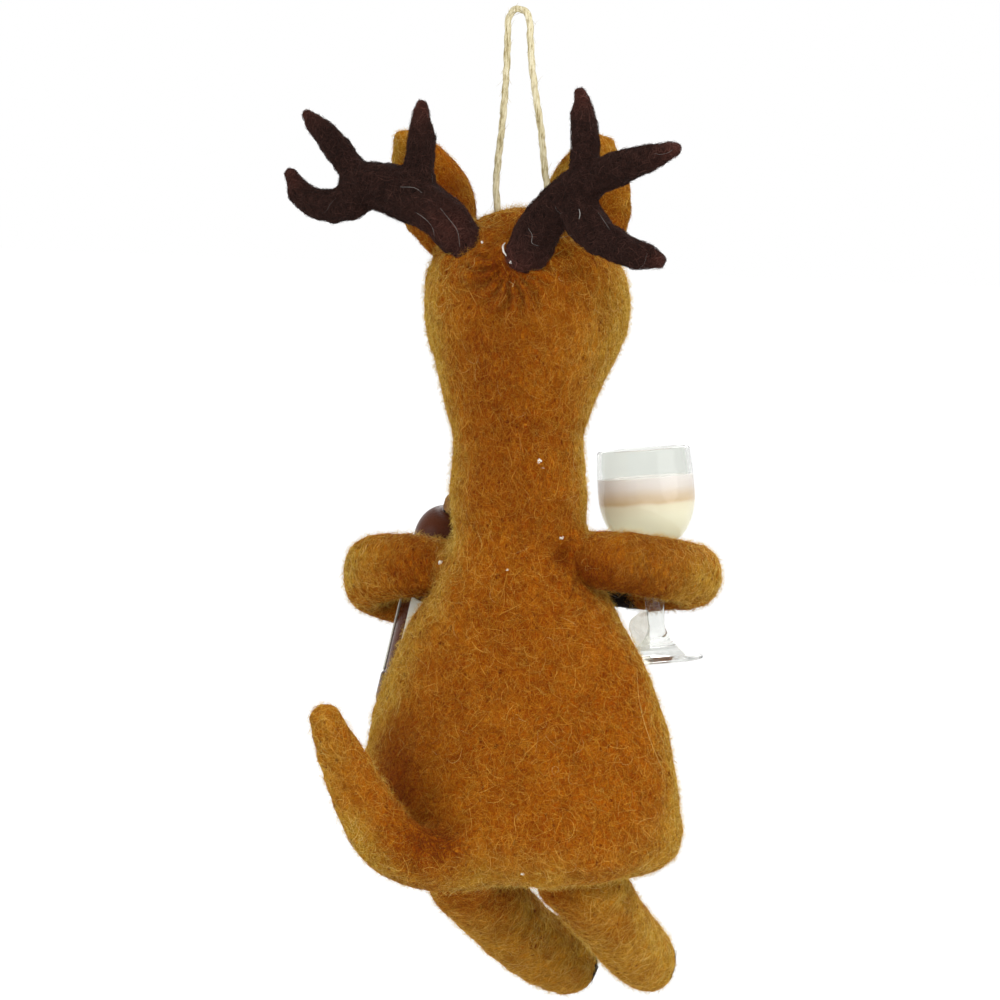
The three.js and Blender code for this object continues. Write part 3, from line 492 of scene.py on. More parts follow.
def bead_material():
    s = Shader("bead_black")
    grain = s.noise(s.place(), 900.0)
    colour = s.ramp(grain, (0.3, (10, 8, 8)), (0.7, (22, 18, 18)))
    rough = s.ramp(grain, (0.4, 0.08), (0.75, 0.2))
    return s.finish(Base_Color=colour, Roughness=rough, Specular_IOR_Level=0.12)


def glass_material():
    """Clear moulded plastic with faint ripples."""
    s = Shader("clear_plastic")
    place = s.place()
    ripple = s.noise(s.stretched(place, (260.0, 260.0, 60.0)), 1.0, 2.0)
    return s.finish(
        (ripple, 0.12, 0.0004),
        Base_Color=(235, 237, 233),
        Roughness=s.ramp(s.noise(place, 1200.0, 5.0, 0.7), (0.5, 0.06), (0.8, 0.16)),
        IOR=1.2,
        Transmission_Weight=0.96,
        Specular_IOR_Level=0.5,
        Coat_Weight=0.3,
        Coat_Roughness=0.05,
    )


def glue_material(name, light, clear):
    """Set hot glue, cloudy or clearer."""
    s = Shader(name)
    cloud = s.noise(s.place(), 500.0)
    low, high = (light - 20, light - 22, light - 34), (light, light - 2, light - 10)
    colour = s.ramp(cloud, (0.3, low), (0.7, high))
    bump = (cloud, 0.3, 0.0003)
    return s.finish(bump, Base_Color=colour, Roughness=0.25, IOR=1.3, Transmission_Weight=clear)


JUTE = jute_material()
STEEL = steel_material()
CLEAR = glass_material()
GLUE = glue_material("hot_glue", 252, 0.15)
CLEAR_GLUE = glue_material("hot_glue_clear", 248, 0.8)

# Hanging loop: the route of the twine in the XZ plane, in millimetres
LOOP_ROUTE = [
    (1.3, -40.2), (2.7, -37.2), (3.8, -33.6), (4.2, -29.5), (3.8, -25), (3.1, -19.5),
    (2.6, -14.5), (2.2, -9), (2.05, -4.6), (1.8, -1.4), (1.05, -0.3), (0, 0),
    (-1.05, -0.3), (-1.8, -1.4), (-2.05, -4.6), (-2.3, -9), (-3, -14), (-4, -20),
    (-4.7, -26.5), (-5.3, -31), (-5, -34), (-3.2, -37.4), (-1.3, -40.2),
]
TWINE_DIAMETER = 1.2 * MM
TWINE_PLIES = 3
PLY_SHARE = 0.6  # a ply's radius against the twine's
PLY_TURN = 8.5 * MM  # of twine for one turn of its plies


def path_lengths(path):
    return np.concatenate([[0], np.cumsum(np.linalg.norm(np.diff(path, axis=0), axis=1))])


def evenly(path, count):
    along = path_lengths(path)
    at = np.linspace(0, along[-1], count)
    return np.stack([np.interp(at, along, path[:, k]) for k in range(3)], axis=1)


def twisted(path, offset, turn, start):
    """A line that winds round a path that lies in the XZ plane."""
    ahead = unit(np.gradient(path, axis=0))
    across = np.stack([-ahead[:, 2], ahead[:, 1], ahead[:, 0]], axis=1)
    over = np.cross(ahead, across)
    angle = path_lengths(path) / turn * 2 * math.pi + start
    return path + offset * (np.cos(angle)[:, None] * across + np.sin(angle)[:, None] * over)


def make_loop():
    path = evenly(smooth_path([mm(x, 0, z) for x, z in LOOP_ROUTE], 12), 400)
    ply = TWINE_DIAMETER / 2 * PLY_SHARE
    offset = TWINE_DIAMETER / 2 - ply
    starts = [2 * math.pi * k / TWINE_PLIES for k in range(TWINE_PLIES)]
    lines = np.stack([twisted(path, offset, PLY_TURN, start) for start in starts])
    rng = np.random.default_rng(11)
    swell = 1 + 0.1 * np.sin(np.linspace(0, 60, len(path)) + rng.random((TWINE_PLIES, 1)) * 6)
    twine = from_points("hanging_loop_twine", *tubes(lines, ply * swell, 10))
    dressed(twine, JUTE, "torso", "jute", "hanging_loop")
    hairs = twine_hairs(path, rng)


def twine_hairs(path, rng, count=170):
    """Stray jute fibres that stand off the twine."""
    at = rng.integers(8, len(path) - 8, count)
    ahead = unit(np.gradient(path, axis=0))[at]
    out = rng.normal(size=(count, 3))
    out = unit(out - (out * ahead).sum(1, keepdims=True) * ahead)
    way = ahead * rng.choice([-1, 1], (count, 1)) + out * rng.uniform(0.1, 0.7, (count, 1))
    reach = rng.uniform(0.4, 1.5, (count, 1)) * MM
    bend = out * rng.uniform(-0.3, 0.4, (count, 1)) * reach
    start = path[at] + out * TWINE_DIAMETER / 2 * 0.8
    lines = np.stack([start + way * reach * k + bend * k * k for k in (0, 0.35, 0.7, 1)], axis=1)
    radii = rng.uniform(0.02, 0.045, (count, 1)) * MM * np.array([[1, 0.9, 0.75, 0.4]])
    return dressed(from_points("hanging_loop_hairs", *tubes(lines, radii, 3)), JUTE, "torso", "jute")


make_loop()


# Felt skins
def rows_of(mesh, key):
    """One vector for each point of a mesh, as an array."""
    held = np.empty(len(mesh.vertices) * 3)
    mesh.vertices.foreach_get(key, held)
    return held.reshape(-1, 3)


def push(mesh, move):
    """Moves the points of a mesh along their normals, by millimetres."""
    places = rows_of(mesh, "co") + rows_of(mesh, "normal") * move[:, None] * MM
    mesh.vertices.foreach_set("co", places.ravel())
    mesh.update()


class Skin:
    """A felt skin's triangles, for spreading fibres over it and laying them on it."""

    def __init__(self, *pieces):
        points, triangles, used = [], [], 0
        for piece in pieces:
            mesh = piece.data
            mesh.calc_loop_triangles()
            corners = np.empty(len(mesh.loop_triangles) * 3, np.int32)
            mesh.loop_triangles.foreach_get("vertices", corners)
            points.append(rows_of(mesh, "co"))
            triangles.append(corners.reshape(-1, 3) + used)
            used += len(mesh.vertices)
        self.points = np.concatenate(points)
        self.triangles = np.concatenate(triangles)
        self.tree = BVHTree.FromPolygons([Vector(p) for p in self.points], self.triangles.tolist())

    def scatter(self, count, rng, where):
        """Points spread over the skin, evenly or by the weight of a place, and the normals there."""
        a, b, c = (self.points[self.triangles[:, k]] for k in range(3))
        cross = np.cross(b - a, c - a)
        size = np.linalg.norm(cross, axis=1)
        if where is not None:
            size = size * where((a + b + c) / 3)
        pick = rng.choice(len(size), count, p=size / size.sum())
        u, v = rng.random((2, count, 1))
        u, v = np.where(u + v > 1, 1 - u, u), np.where(u + v > 1, 1 - v, v)
        return a[pick] + u * (b[pick] - a[pick]) + v * (c[pick] - a[pick]), unit(cross[pick])

    def nearest(self, points):
        found = [self.tree.find_nearest(p) for p in points]
        return np.array([f[0] for f in found]), np.array([f[1] for f in found])

    def seen(self, x, y):
        """The place that shows at a pixel of the photograph's frame, or is nearest to its line of sight."""
        ray = pixel_ray(x, y)
        place = self.tree.ray_cast(EYE, ray)[0]
        return np.array(place or self.tree.find_nearest(EYE + ray * (AIM - EYE).length)[0])


def joined_solids(nodes, grow, fillers):
    """The named solids, grown along their normals until they meet, with balls that fill the joints."""
    shape = bmesh.new()
    for node in nodes:
        shape.from_mesh(frame["nodes"][node].data)
    bmesh.ops.remove_doubles(shape, verts=shape.verts, dist=1e-6)
    shape.normal_update()
    for vertex in shape.verts:
        vertex.co += vertex.normal * grow
    for centre, radius in fillers:
        place = Matrix.Translation(centre)
        bmesh.ops.create_icosphere(shape, subdivisions=3, radius=radius + grow, matrix=place)
    return shape


def lump(point, size, seed):
    """Soft random swelling from -1 to 1."""
    return noise.noise(point / size + Vector((seed, seed * 1.7, seed * 2.3)))


# The wool's swellings: height and size in millimetres, and a step in the seed
LUMPS = ((0.32, 7, 0), (0.24, 2.6, 5), (0.16, 1.1, 9))


def felt(name, nodes, body, slot, seed, voxel, soften=6, grow=1, proud=0.12, rough=1, fill=0.9, fillers=()):
    """A wool skin over the named solids, remeshed as one, softened, lumpy and pitted."""
    piece = remeshed(name, joined_solids(nodes, grow * MM, fillers), voxel, soften)
    mesh = piece.data
    for vertex, place, normal in [(v, v.co.copy(), v.normal.copy()) for v in mesh.vertices]:
        swell = sum(height * lump(place, size * MM, seed + step) for height, size, step in LUMPS)
        vertex.co = place + normal * (swell * rough - (grow - proud)) * MM
    mesh.update()
    dressed(piece, FELTS[slot], body, slot, *nodes)
    return piece


def store(piece, **numbers):
    """Keeps a number for each point of a piece, for its material."""
    for name, values in numbers.items():
        held = piece.data.attributes.new(name, "FLOAT", "POINT").data
        held.foreach_set("value", np.asarray(values, np.float32))


LEFT_SHOULDER, RIGHT_SHOULDER, LEFT_HIP, RIGHT_HIP = (Vector(j["pos_m"]) for j in frame["joints"])
SOCKET_FILL = [
    (LEFT_SHOULDER - mm(2.6, 0, 0), 5.2 * MM),
    (RIGHT_SHOULDER + mm(2.6, 0, 0), 5.2 * MM),
    (LEFT_HIP + mm(0, 1.0, 6.5), 7 * MM),
    (RIGHT_HIP + mm(0, 1.0, 6.5), 7 * MM),
]
BODY_NODES = ["head", "muzzle", "neck", "torso", "tail"]
ANTLERS = (
    ("beam", "lower_tine", "upper_tine", "middle_tine"),
    ("beam", "top_tine", "side_tine", "lower_tine"),
)
ANTLER_FEET = ((mm(5.5, 8.3, -38.5), 2.9 * MM), (mm(-5.2, 9.3, -39.9), 2.8 * MM))
HOOVES = [
    (f"{side}_{end}_hoof", f"{side}_{limb}")
    for end, limb in (("front", "arm"), ("back", "leg"))
    for side in SIDES
]
EAR_FELT = dict(voxel=0.45, soften=8, proud=0.4, rough=0.7)
ANTLER_FELT = dict(voxel=0.42, soften=3, grow=0.6, proud=0.36, rough=1.3, fill=1.0)
ARM_FELT = dict(voxel=0.55, soften=5, proud=0.4, rough=0.9)
LEG_FELT = dict(voxel=0.6, proud=0.22)
HOOF_FELT = dict(voxel=0.45, soften=3, rough=0.8, fill=1.0)
NOSE_FELT = dict(voxel=0.35, soften=3, rough=0.5, fill=1.0)

body = felt("body_felt", BODY_NODES, "torso", "wool", 1, 0.62, soften=13, fillers=SOCKET_FILL)
ears = [
    felt(f"{side}_ear_felt", [f"{side}_ear"], "torso", "wool", 4 + i, **EAR_FELT)
    for i, side in enumerate(SIDES)
]
antlers = []
for i, side in enumerate(SIDES):
    nodes = [f"{side}_antler_{part}" for part in ANTLERS[i]]
    words = dict(ANTLER_FELT, fillers=[ANTLER_FEET[i]])
    antlers.append(felt(f"{side}_antler_felt", nodes, "torso", "dark_wool", 7 + i, **words))
arms, legs = (
    [
        felt(f"{side}_{limb}_felt", [f"{side}_{limb}"], f"{side}_{limb}", "wool", seed + i, **words)
        for i, side in enumerate(SIDES)
    ]
    for limb, seed, words in (("arm", 11, ARM_FELT), ("leg", 13, LEG_FELT))
)
hooves = [
    felt(f"{node}_felt", [node], limb, "black_wool", 15 + i, **HOOF_FELT)
    for i, (node, limb) in enumerate(HOOVES)
]
nose = felt("nose_felt", ["nose"], "torso", "black_wool", 21, **NOSE_FELT)

# Dents, or swellings where the depth is negative: the pixel, and the radius and depth in millimetres
BODY_DENTS = [
    (562, 554, 1.8, 1.2), (415, 625, 5, -0.5), (588, 566, 2.4, 0.6), (438, 842, 3, 0.9), (420, 800, 3, 0.5),
    (545, 700, 6, 0.25), (600, 884, 6, 0.9), (640, 874, 5, 0.7), (549, 886, 2.5, -0.9),
]
ANTLER_DENTS = [(556, 253, 4, -1.3), (570, 200, 3, -0.3)]
LEG_DENTS = [
    [(541, 889, 3, -1.7), (520, 885, 3.5, -0.5), (556, 918, 3, 0.8)],
    [(549, 889, 3, -1.8), (612, 885, 4, -0.7), (558, 912, 3, 0.8)],
]
# Where an antler's foot gathers the wool: the pixel, the number of pleats in a turn and their height
GATHERS = [(513, 266, 15, 0.85), (465, 250, 12, 0.35)]
GATHER_REACH = 7.5
FOOT_RIM = 3.9
FOOT_RIM_HEIGHT = 0.3
FOOT_RIM_WIDTH = 0.9
PHOTO_RIGHT = np.array([-0.906, -0.4226, 0.0])
PHOTO_BACK = np.array([-0.4226, 0.906, 0.0])


def sculpt(piece, dents, gathers=()):
    """Presses dents into a skin and draws its wool into pleats below the antlers' feet."""
    skin = Skin(piece)
    move = np.zeros(len(skin.points))
    for x, y, radius, depth in dents:
        away = np.linalg.norm(skin.points - skin.seen(x, y), axis=1) / MM
        move -= depth * np.exp(-((away / radius) ** 2))
    for x, y, pleats, height in gathers:
        offset = (skin.points - skin.seen(x, y)) / MM
        away = np.linalg.norm(offset, axis=1)
        angle = np.arctan2(offset @ PHOTO_RIGHT, -offset[:, 2])
        folds = np.cos(angle * pleats + 0.9 * np.sin(away * 0.9)) * np.exp(-((away / GATHER_REACH) ** 2))
        move += height * folds * np.clip(away / 2 - 0.6, 0, 1) * (np.cos(angle) > -0.3)
        move += FOOT_RIM_HEIGHT * np.exp(-(((away - FOOT_RIM) / FOOT_RIM_WIDTH) ** 2))
    push(piece.data, move)


sculpt(body, BODY_DENTS, GATHERS)
sculpt(antlers[1], ANTLER_DENTS)
for leg, dents in zip(legs, LEG_DENTS):
    sculpt(leg, dents)
body_skin = Skin(body)
seen_skin = Skin(body, *ears, *antlers, *arms, *legs)

# Where the wool's colour drifts: the pixel where it shows, the radius in millimetres, how much ochre and
# painted rim light, and how much red and painted shade. The ochre rows along the edges of the head, ears,
# tail, torso and limbs, and the light strip along the tail's left edge, are painted rim light; the rows with
# less ochre and more red in the crease beside the tail are painted shade, with the wool's own red tone.
# First four rows: painted shade, redder and darker in the crease beside the tail
DRIFTS_AND_PAINTED_LIGHT = [
    (405, 792, 6, -0.9, 0.9), (426, 834, 5.5, -0.6, 1), (393, 755, 5, -0.7, 0.6), (402, 715, 4, -0.4, 0.3),
    (585, 570, 4, 0, 0.8), (562, 556, 2.2, 0, 1), (500, 236, 7, 0, 0.35), (490, 345, 9, 0, 0.45),
    (505, 420, 8, 0, 0.35), (500, 480, 8, 0, 0.35), (440, 720, 8, 0, 0.25), (399, 140, 3.5, 0.7, 0),
    (463, 185, 2.2, 0.6, 0), (556, 165, 4.5, 0.7, 0), (615, 150, 4, 0.6, 0), (628, 200, 3, 0.5, 0),
    (486, 266, 4, 0, 0.6), (512, 272, 3.5, 0, 0.6), (520, 300, 6, 0, 0.25), (515, 620, 8, 0, 0.25),
    (545, 520, 5, 0, 0.3), (415, 585, 4.5, -0.3, 0.7), (430, 560, 4, -0.2, 0.4), (640, 590, 4, -0.2, 0.6),
    (605, 575, 4, -0.2, 0.6), (650, 535, 5, 0, 0.3), (665, 570, 9, 0.15, 0.3), (665, 600, 5, -0.1, 0.5),
    (400, 545, 4, 0, 0.25), (450, 190, 4, 0, 0.8), (445, 230, 4, 0, 0.6), (395, 690, 6, 0.5, 0),
    (612, 340, 9, 0.7, 0), (432, 330, 3.5, 0.4, 0), (470, 884, 7, 0.8, 0), (550, 884, 6, 0.8, 0),
    (610, 880, 6, 0.8, 0), (655, 862, 7, 0.7, 0), (345, 850, 7, 0.5, 0), (440, 545, 4, 0.6, 0),
    (425, 610, 4, 0.6, 0), (640, 560, 4, 0.4, 0), (380, 565, 5, 0.4, 0), (560, 790, 10, -0.2, 0),
    (545, 740, 14, 0, 0.12), (705, 580, 6, 0.6, 0), (718, 590, 4, 0.4, 0), (352, 575, 5, 0.6, 0),
    (328, 760, 5, 0.5, 0), (350, 822, 2.6, 0.8, 0), (362, 847, 2.6, 0.8, 0), (382, 866, 2.6, 0.8, 0),
    (405, 879, 2.6, 0.7, 0), (323, 712, 3.5, 0.5, 0), (450, 848, 2, -0.4, 0.6), (674, 790, 3, 0.4, 0),
    (625, 300, 5, 0.4, 0), (420, 104, 3, 0, 0.8), (579, 92, 3, 0, 0.9), (678, 147, 3.5, 0, 0.9),
    (660, 262, 2.5, 0, 0.6), (305, 113, 2.5, 0, 0.7), (290, 175, 2.5, 0, 0.7),
]
DRIFT_AND_PAINTED_LIGHT_PLACES = [seen_skin.seen(x, y) for x, y, *_ in DRIFTS_AND_PAINTED_LIGHT]
LEG_TOP = -149 * MM
RIM_LIGHT_START = 0.7  # how far a normal leans aside where the painted rim light (ochre) begins
RIM_LIGHT_SPAN = 0.24


def drift_and_painted_light(places, normals):
    """How much ochre and painted rim light, and how much red and painted shade, the wool has at places on it:
    ochre at its sides as painted rim light, on the legs, and as the drifts say.
    """
    # Painted rim light: ochre where the normal leans far to either side
    ochre = np.clip((np.abs(normals @ PHOTO_RIGHT) - RIM_LIGHT_START) / RIM_LIGHT_SPAN, 0, 1) ** 1.2 * 0.95
    ochre += np.clip((LEG_TOP - places[:, 2]) / (7 * MM), 0, 1) * 0.6
    red = np.zeros(len(places))
    for centre, (*_, radius, more_ochre, more_red) in zip(DRIFT_AND_PAINTED_LIGHT_PLACES, DRIFTS_AND_PAINTED_LIGHT):
        near = np.exp(-(((places - centre) ** 2).sum(1)) / (radius * MM) ** 2)
        ochre += more_ochre * near
        red += more_red * near
    return np.clip(ochre, 0, 1), np.clip(red, 0, 1)


for piece in [body, *ears, *antlers, *arms, *legs, *hooves, nose]:
    ochre, red = drift_and_painted_light(rows_of(piece.data, "co"), rows_of(piece.data, "normal"))
    store(piece, ochre=ochre, red=red)


# Fibres
def downward(points, normals):
    """The way down along the skin."""
    return np.tile([0.0, 0.0, -1.0], (len(points), 1))


def around(line):
    """The way round a limb whose middle follows a line."""
    middle = evenly(np.array([list(mm(*p)) for p in line]), 60)
    ahead = unit(np.gradient(middle, axis=0))

    def flow(points, normals):
        near = np.linalg.norm(points[:, None] - middle[None], axis=2).argmin(1)
        return np.cross(ahead[near], normals)

    return flow


ROOT_DEPTH = 0.1 * MM
LEAST_LIFT = 0.05 * MM


def strands(skin, count, rng, reach, thick, lift, curl, spread, flow, where=None, steps=4, rim=0.0):
    """Lines, radii and numbers of fibres that lie on the skin. lift is the height of the loose end."""
    place, normal = skin.scatter(count, rng, where)
    ochre, red = drift_and_painted_light(place, normal)
    # Painted rim light: fibres where the skin turns sideways take at least the rim share of ochre
    ochre = np.maximum(ochre, rim * np.clip((0.6 - np.abs(normal @ PHOTO_BACK)) / 0.3, 0, 1))
    tone = rng.beta(2.0, 2.2, count)
    way = flow(place, normal)
    way = unit(way - (way * normal).sum(1, keepdims=True) * normal + rng.normal(0, 0.02, way.shape))
    angle = rng.normal(0, spread, (count, 1))
    way = np.cos(angle) * way + np.sin(angle) * np.cross(normal, way)
    step = rng.uniform(*reach, (count, 1)) * MM / (steps - 1)
    turn = rng.normal(0, curl, (count, 1)) / (steps - 1)
    rise = rng.uniform(*lift, (count, 1)) * MM
    lines = np.empty((count, steps, 3))
    lines[:, 0] = place - normal * ROOT_DEPTH
    for k in range(1, steps):
        share = k / (steps - 1)
        place, normal = skin.nearest(place + way * step)
        lines[:, k] = place + normal * (rise * share**1.5 + LEAST_LIFT)
        way = unit(way - (way * normal).sum(1, keepdims=True) * normal)
        way = np.cos(turn) * way + np.sin(turn) * np.cross(normal, way)
        turn = turn + rng.normal(0, curl * 0.6, (count, 1)) / (steps - 1)
    taper = np.interp(np.linspace(0, 1, steps), [0, 0.3, 0.8, 1], [0.8, 1, 0.8, 0.3])
    radii = rng.uniform(*thick, (count, 1)) / 2 * MM * taper
    return lines, radii, dict(tone=tone, ochre=ochre, red=red)


FIBRE_SIDES = 3
MOST_FIBRES = 7500  # in one piece


def fuzz(name, skin, body, slot, material, seed, **words):
    """One mesh of fibres on a skin."""
    lines, radii, numbers = strands(skin, rng=np.random.default_rng(seed), **words)
    piece = from_points(name, *tubes(lines, radii, FIBRE_SIDES))
    store(piece, **{key: np.repeat(values, lines.shape[1] * FIBRE_SIDES) for key, values in numbers.items()})
    dressed(piece, material, body, slot)


def coat(name, skin, body, slot, count, seed, flow=downward, where=None, spread=0.9, size=1.0):
    """A skin's fibres: flat ones, thicker streaks, and thin ones that stand off as a halo."""
    pieces = max(1, round(count / MOST_FIBRES))
    count //= pieces
    flat = dict(count=count, reach=(1.8 * size, 4.6 * size), thick=(0.05, 0.09), lift=(0.0, 0.25))
    streaks = dict(count=count // 3, reach=(2.0 * size, 5.5 * size), thick=(0.05, 0.11), lift=(0.02, 0.4))
    halo_lift = (0.3 * size, 1.15 * size**2)
    halo = dict(count=count, reach=(0.7 * size, 2.3 * size), thick=(0.032, 0.052), lift=halo_lift)
    flat.update(curl=0.6, spread=spread)
    streaks.update(curl=1.3, spread=spread * 1.2, steps=7)
    # The halo's rim share puts painted rim light on its fibres at the sides
    halo.update(curl=1.2, spread=2.5, steps=3, rim=0.9)
    kinds = (("fibres", 0, flat), ("streaks", 20, streaks), ("halo", 50, halo))
    for i in range(pieces):
        for (kind, step, words), material in zip(kinds, COATS[slot]):
            part = f"{name}_{kind}_{i + 1}"
            fuzz(part, skin, body, slot, material, seed + step + i, flow=flow, where=where, **words)


def curls(name, skin, body, slot, material, seed, count, **words):
    """Single long curly hairs."""
    usual = dict(reach=(1.5, 5.0), thick=(0.03, 0.048), lift=(0.1, 0.8), steps=9)
    words = {**usual, **words}
    fuzz(name, skin, body, slot, material, seed, count=count, flow=downward, curl=1.8, spread=2.5, **words)


# The middles of the limbs, in millimetres
ARM_LINES = [
    [
        (13.3, 0, -93.9), (22, 0.3, -94.3), (29, -4, -95.8), (32.5, -12.4, -98.9), (29, -21, -102.2),
        (20, -24.9, -104.4), (10, -24.9, -104.9),
    ],
    [
        (-12, 0, -90.6), (-18, 0, -90.9), (-23.5, -6, -92.2), (-25.5, -12.6, -94), (-23, -20, -96.3),
        (-16, -25.2, -98), (-6.5, -25.2, -98.2),
    ],
]
LEG_LINES = [
    [(11.7, -4.5, -147), (9.8, -11.7, -153.7), (7.1, -20.8, -160.7), (4.3, -28.5, -165.5)],
    [(-10.4, -4.5, -147), (-12.3, -10, -153), (-12.4, -18.1, -159), (-12, -26.5, -163.6)],
]
NECK_FOOT = -84 * MM


def above_torso(places):
    return 1 / (1 + np.exp((NECK_FOOT - places[:, 2]) / (3 * MM)))


def on_torso(places):
    return 1 - above_torso(places)


coat("head", body_skin, "torso", "wool", 21000, 300, where=above_torso, spread=0.45)
coat("torso", body_skin, "torso", "wool", 35000, 400, where=on_torso, spread=1.1)
for i, side in enumerate(SIDES):
    coat(f"{side}_ear", Skin(ears[i]), "torso", "wool", 2400, 140 + i, spread=0.6, size=0.8)
stray = dict(reach=(2.0, 4.5), thick=(0.022, 0.036), lift=(0.05, 0.4))
for i, side in enumerate(SIDES):
    skin = Skin(antlers[i])
    coat(f"{side}_antler", skin, "torso", "dark_wool", 4200, 150 + i, spread=1.5, size=0.6)
    curls(f"{side}_antler_stray_hairs", skin, "torso", "dark_wool", GREY_STRANDS, 155 + i, 6, **stray)
for limb, pieces, lines, count, seed, spread, strays in (
    ("arm", arms, ARM_LINES, 6000, 160, 0.35, 40),
    ("leg", legs, LEG_LINES, 5200, 170, 0.6, 30),
):
    for i, side in enumerate(SIDES):
        name, skin = f"{side}_{limb}", Skin(pieces[i])
        coat(name, skin, name, "wool", count, seed + i, flow=around(lines[i]), spread=spread)
        curls(f"{name}_stray_hairs", skin, name, "wool", PALE_STRANDS, seed + 5 + i, strays)
stray = dict(reach=(1.6, 4.5), thick=(0.024, 0.045), lift=(0.2, 1.3), steps=10)
for i, (name, limb) in enumerate(HOOVES):
    skin = Skin(hooves[i])
    coat(name, skin, limb, "black_wool", 700, 180 + i, spread=2.0, size=0.8)
    curls(f"{name}_curls", skin, limb, "black_wool", GREY_STRANDS, 190 + i, 60, **stray)
coat("nose", Skin(nose), "torso", "black_wool", 260, 195, spread=2.0, size=0.45)
curls("body_stray_hairs", body_skin, "torso", "wool", PALE_STRANDS, 200, 420)

# Single hairs that the photograph shows: the pixels that they pass, and their thickness in millimetres
DARK_HAIRS = [
    ([(400, 187), (415, 188), (422, 193)], 0.04),
    ([(415, 212), (424, 218), (432, 227), (433, 240)], 0.045),
    ([(440, 208), (449, 219), (457, 230), (460, 247)], 0.04),
    ([(528, 228), (532, 235), (532, 243), (538, 246)], 0.05),
    ([(555, 242), (564, 242), (573, 235)], 0.045),
    ([(598, 212), (606, 224), (610, 230)], 0.04),
    ([(579, 209), (580, 214), (579, 219)], 0.14),
]
PALE_HAIRS = [
    ([(637, 668), (638, 690), (641, 710), (646, 728), (652, 745), (662, 768), (672, 790)], 0.07),
    ([(446, 758), (452, 763), (459, 759), (462, 748)], 0.05),
]
FOOT_GLUE = [([(505, 243), (503, 246.5), (503.5, 251), (506.5, 256)], 0.36)]
HAIR_LIFT = 0.00025


def laid_hairs(name, skin, hairs, material, slot, tone=0.6, sides=4):
    """Hairs that lie on a skin along the pixels where they show."""
    places, faces, used = [], [], 0
    off = np.array(EYE) - np.array(AIM)
    for pixels, thick in hairs:
        seen = [skin.seen(*pixel) for pixel in pixels]
        path = smooth_path([Vector(p + off * HAIR_LIFT / np.linalg.norm(off)) for p in seen], 6)
        swell = np.sin(np.linspace(0.25, math.pi - 0.25, len(path))) ** 0.5
        points, parts = tubes(path[None], swell[None] * thick / 2 * MM, sides)
        places.append(points)
        faces += [part + used for part in parts]
        used += len(points)
    piece = from_points(name, np.concatenate(places), faces)
    store(piece, tone=np.full(used, tone))
    dressed(piece, material, "torso", slot)


laid_hairs("antler_laid_hairs", Skin(*antlers), DARK_HAIRS, GREY_STRANDS, "dark_wool", tone=0.3)
laid_hairs("body_laid_hairs", body_skin, PALE_HAIRS, PALE_STRANDS, "wool")
laid_hairs("antler_foot_glue", seen_skin, FOOT_GLUE, GLUE, "clear", sides=10)

# Specks of hot glue: the pixel and the radius in millimetres
SPECKS = [
    (511, 262, 0.26), (539, 461, 0.42), (543, 468, 0.24), (561, 538, 0.42), (507, 570, 0.24),
    (441, 563, 0.36), (482, 243, 0.24), (523, 873, 0.34),
]


def make_specks():
    shape = bmesh.new()
    for x, y, radius in SPECKS:
        centre = Vector(seen_skin.seen(x, y)) + (AIM - EYE).normalized() * radius * 0.35 * MM
        ball = bmesh.ops.create_icosphere(shape, subdivisions=3, radius=radius * MM)
        for vertex in ball["verts"]:
            vertex.co = centre + vertex.co * (1 + 0.8 * lump(vertex.co + centre, 0.35 * MM, 3))
    dressed(from_bmesh("glue_specks", shape), GLUE, "torso", "clear")


make_specks()


# Turned pieces
def placed(origin, right, up):
    """A piece's own axes in the row frame, from millimetres: right is its X and up its Z."""
    z = Vector(up).normalized()
    y = z.cross(Vector(right)).normalized()
    turn = Matrix((y.cross(z), y, z)).transposed().to_4x4()
    return Matrix.Translation(mm(*origin)) @ turn @ Matrix.Scale(MM, 4)


BOTTLE_PLACE = placed(
    (27.31074, -15.52134, -120.66986), (0.95213, 0.0436, 0.30257), (-0.3057, 0.1358, 0.9424)
)
GLASS_PLACE = placed(
    (-18.20488, -16.99891, -110.00367), (0.99452, 0.00456, -0.10443), (0.10453, -0.04338, 0.99358)
)
SHARP = math.radians(50)


def moulded(name, points, faces, place):
    """A piece from points in its own axes, with sharp edges."""
    piece = from_points(name, points, faces)
    piece.data.transform(place)
    piece.data.set_sharp_from_angle(angle=SHARP)
    return piece


def turned(name, profile, place, sides=96):
    """A solid of revolution from (radius, height) rows in millimetres, from its lower to its upper middle."""
    rows = np.array([p for p in profile if p[0] > 1e-6])
    angle = np.arange(sides) / sides * 2 * math.pi
    walls = [rows[:, :1] * np.cos(angle), rows[:, :1] * np.sin(angle), np.repeat(rows[:, 1:], sides, axis=1)]
    poles = np.array([[0, 0, profile[0][1]], [0, 0, profile[-1][1]]])
    ring = np.arange(len(rows) * sides).reshape(-1, sides)
    after = np.roll(ring, -1, axis=1)
    faces = [
        faces_of(ring[:-1], after[:-1], after[1:], ring[1:]),
        faces_of(np.full(sides, ring.size), after[0], ring[0]),
        faces_of(np.full(sides, ring.size + 1), ring[-1], after[-1]),
    ]
    points = np.concatenate([np.stack(walls, axis=-1).reshape(-1, 3), poles])
    return moulded(name, points, faces, place)


def arc(centre, radius, start, end, steps):
    """Profile rows along an arc, with angles in degrees from the radius direction."""
    rows = []
    for k in range(steps + 1):
        angle = math.radians(start + (end - start) * k / steps)
        rows.append((centre[0] + radius[0] * math.cos(angle), centre[1] + radius[1] * math.sin(angle)))
    return rows


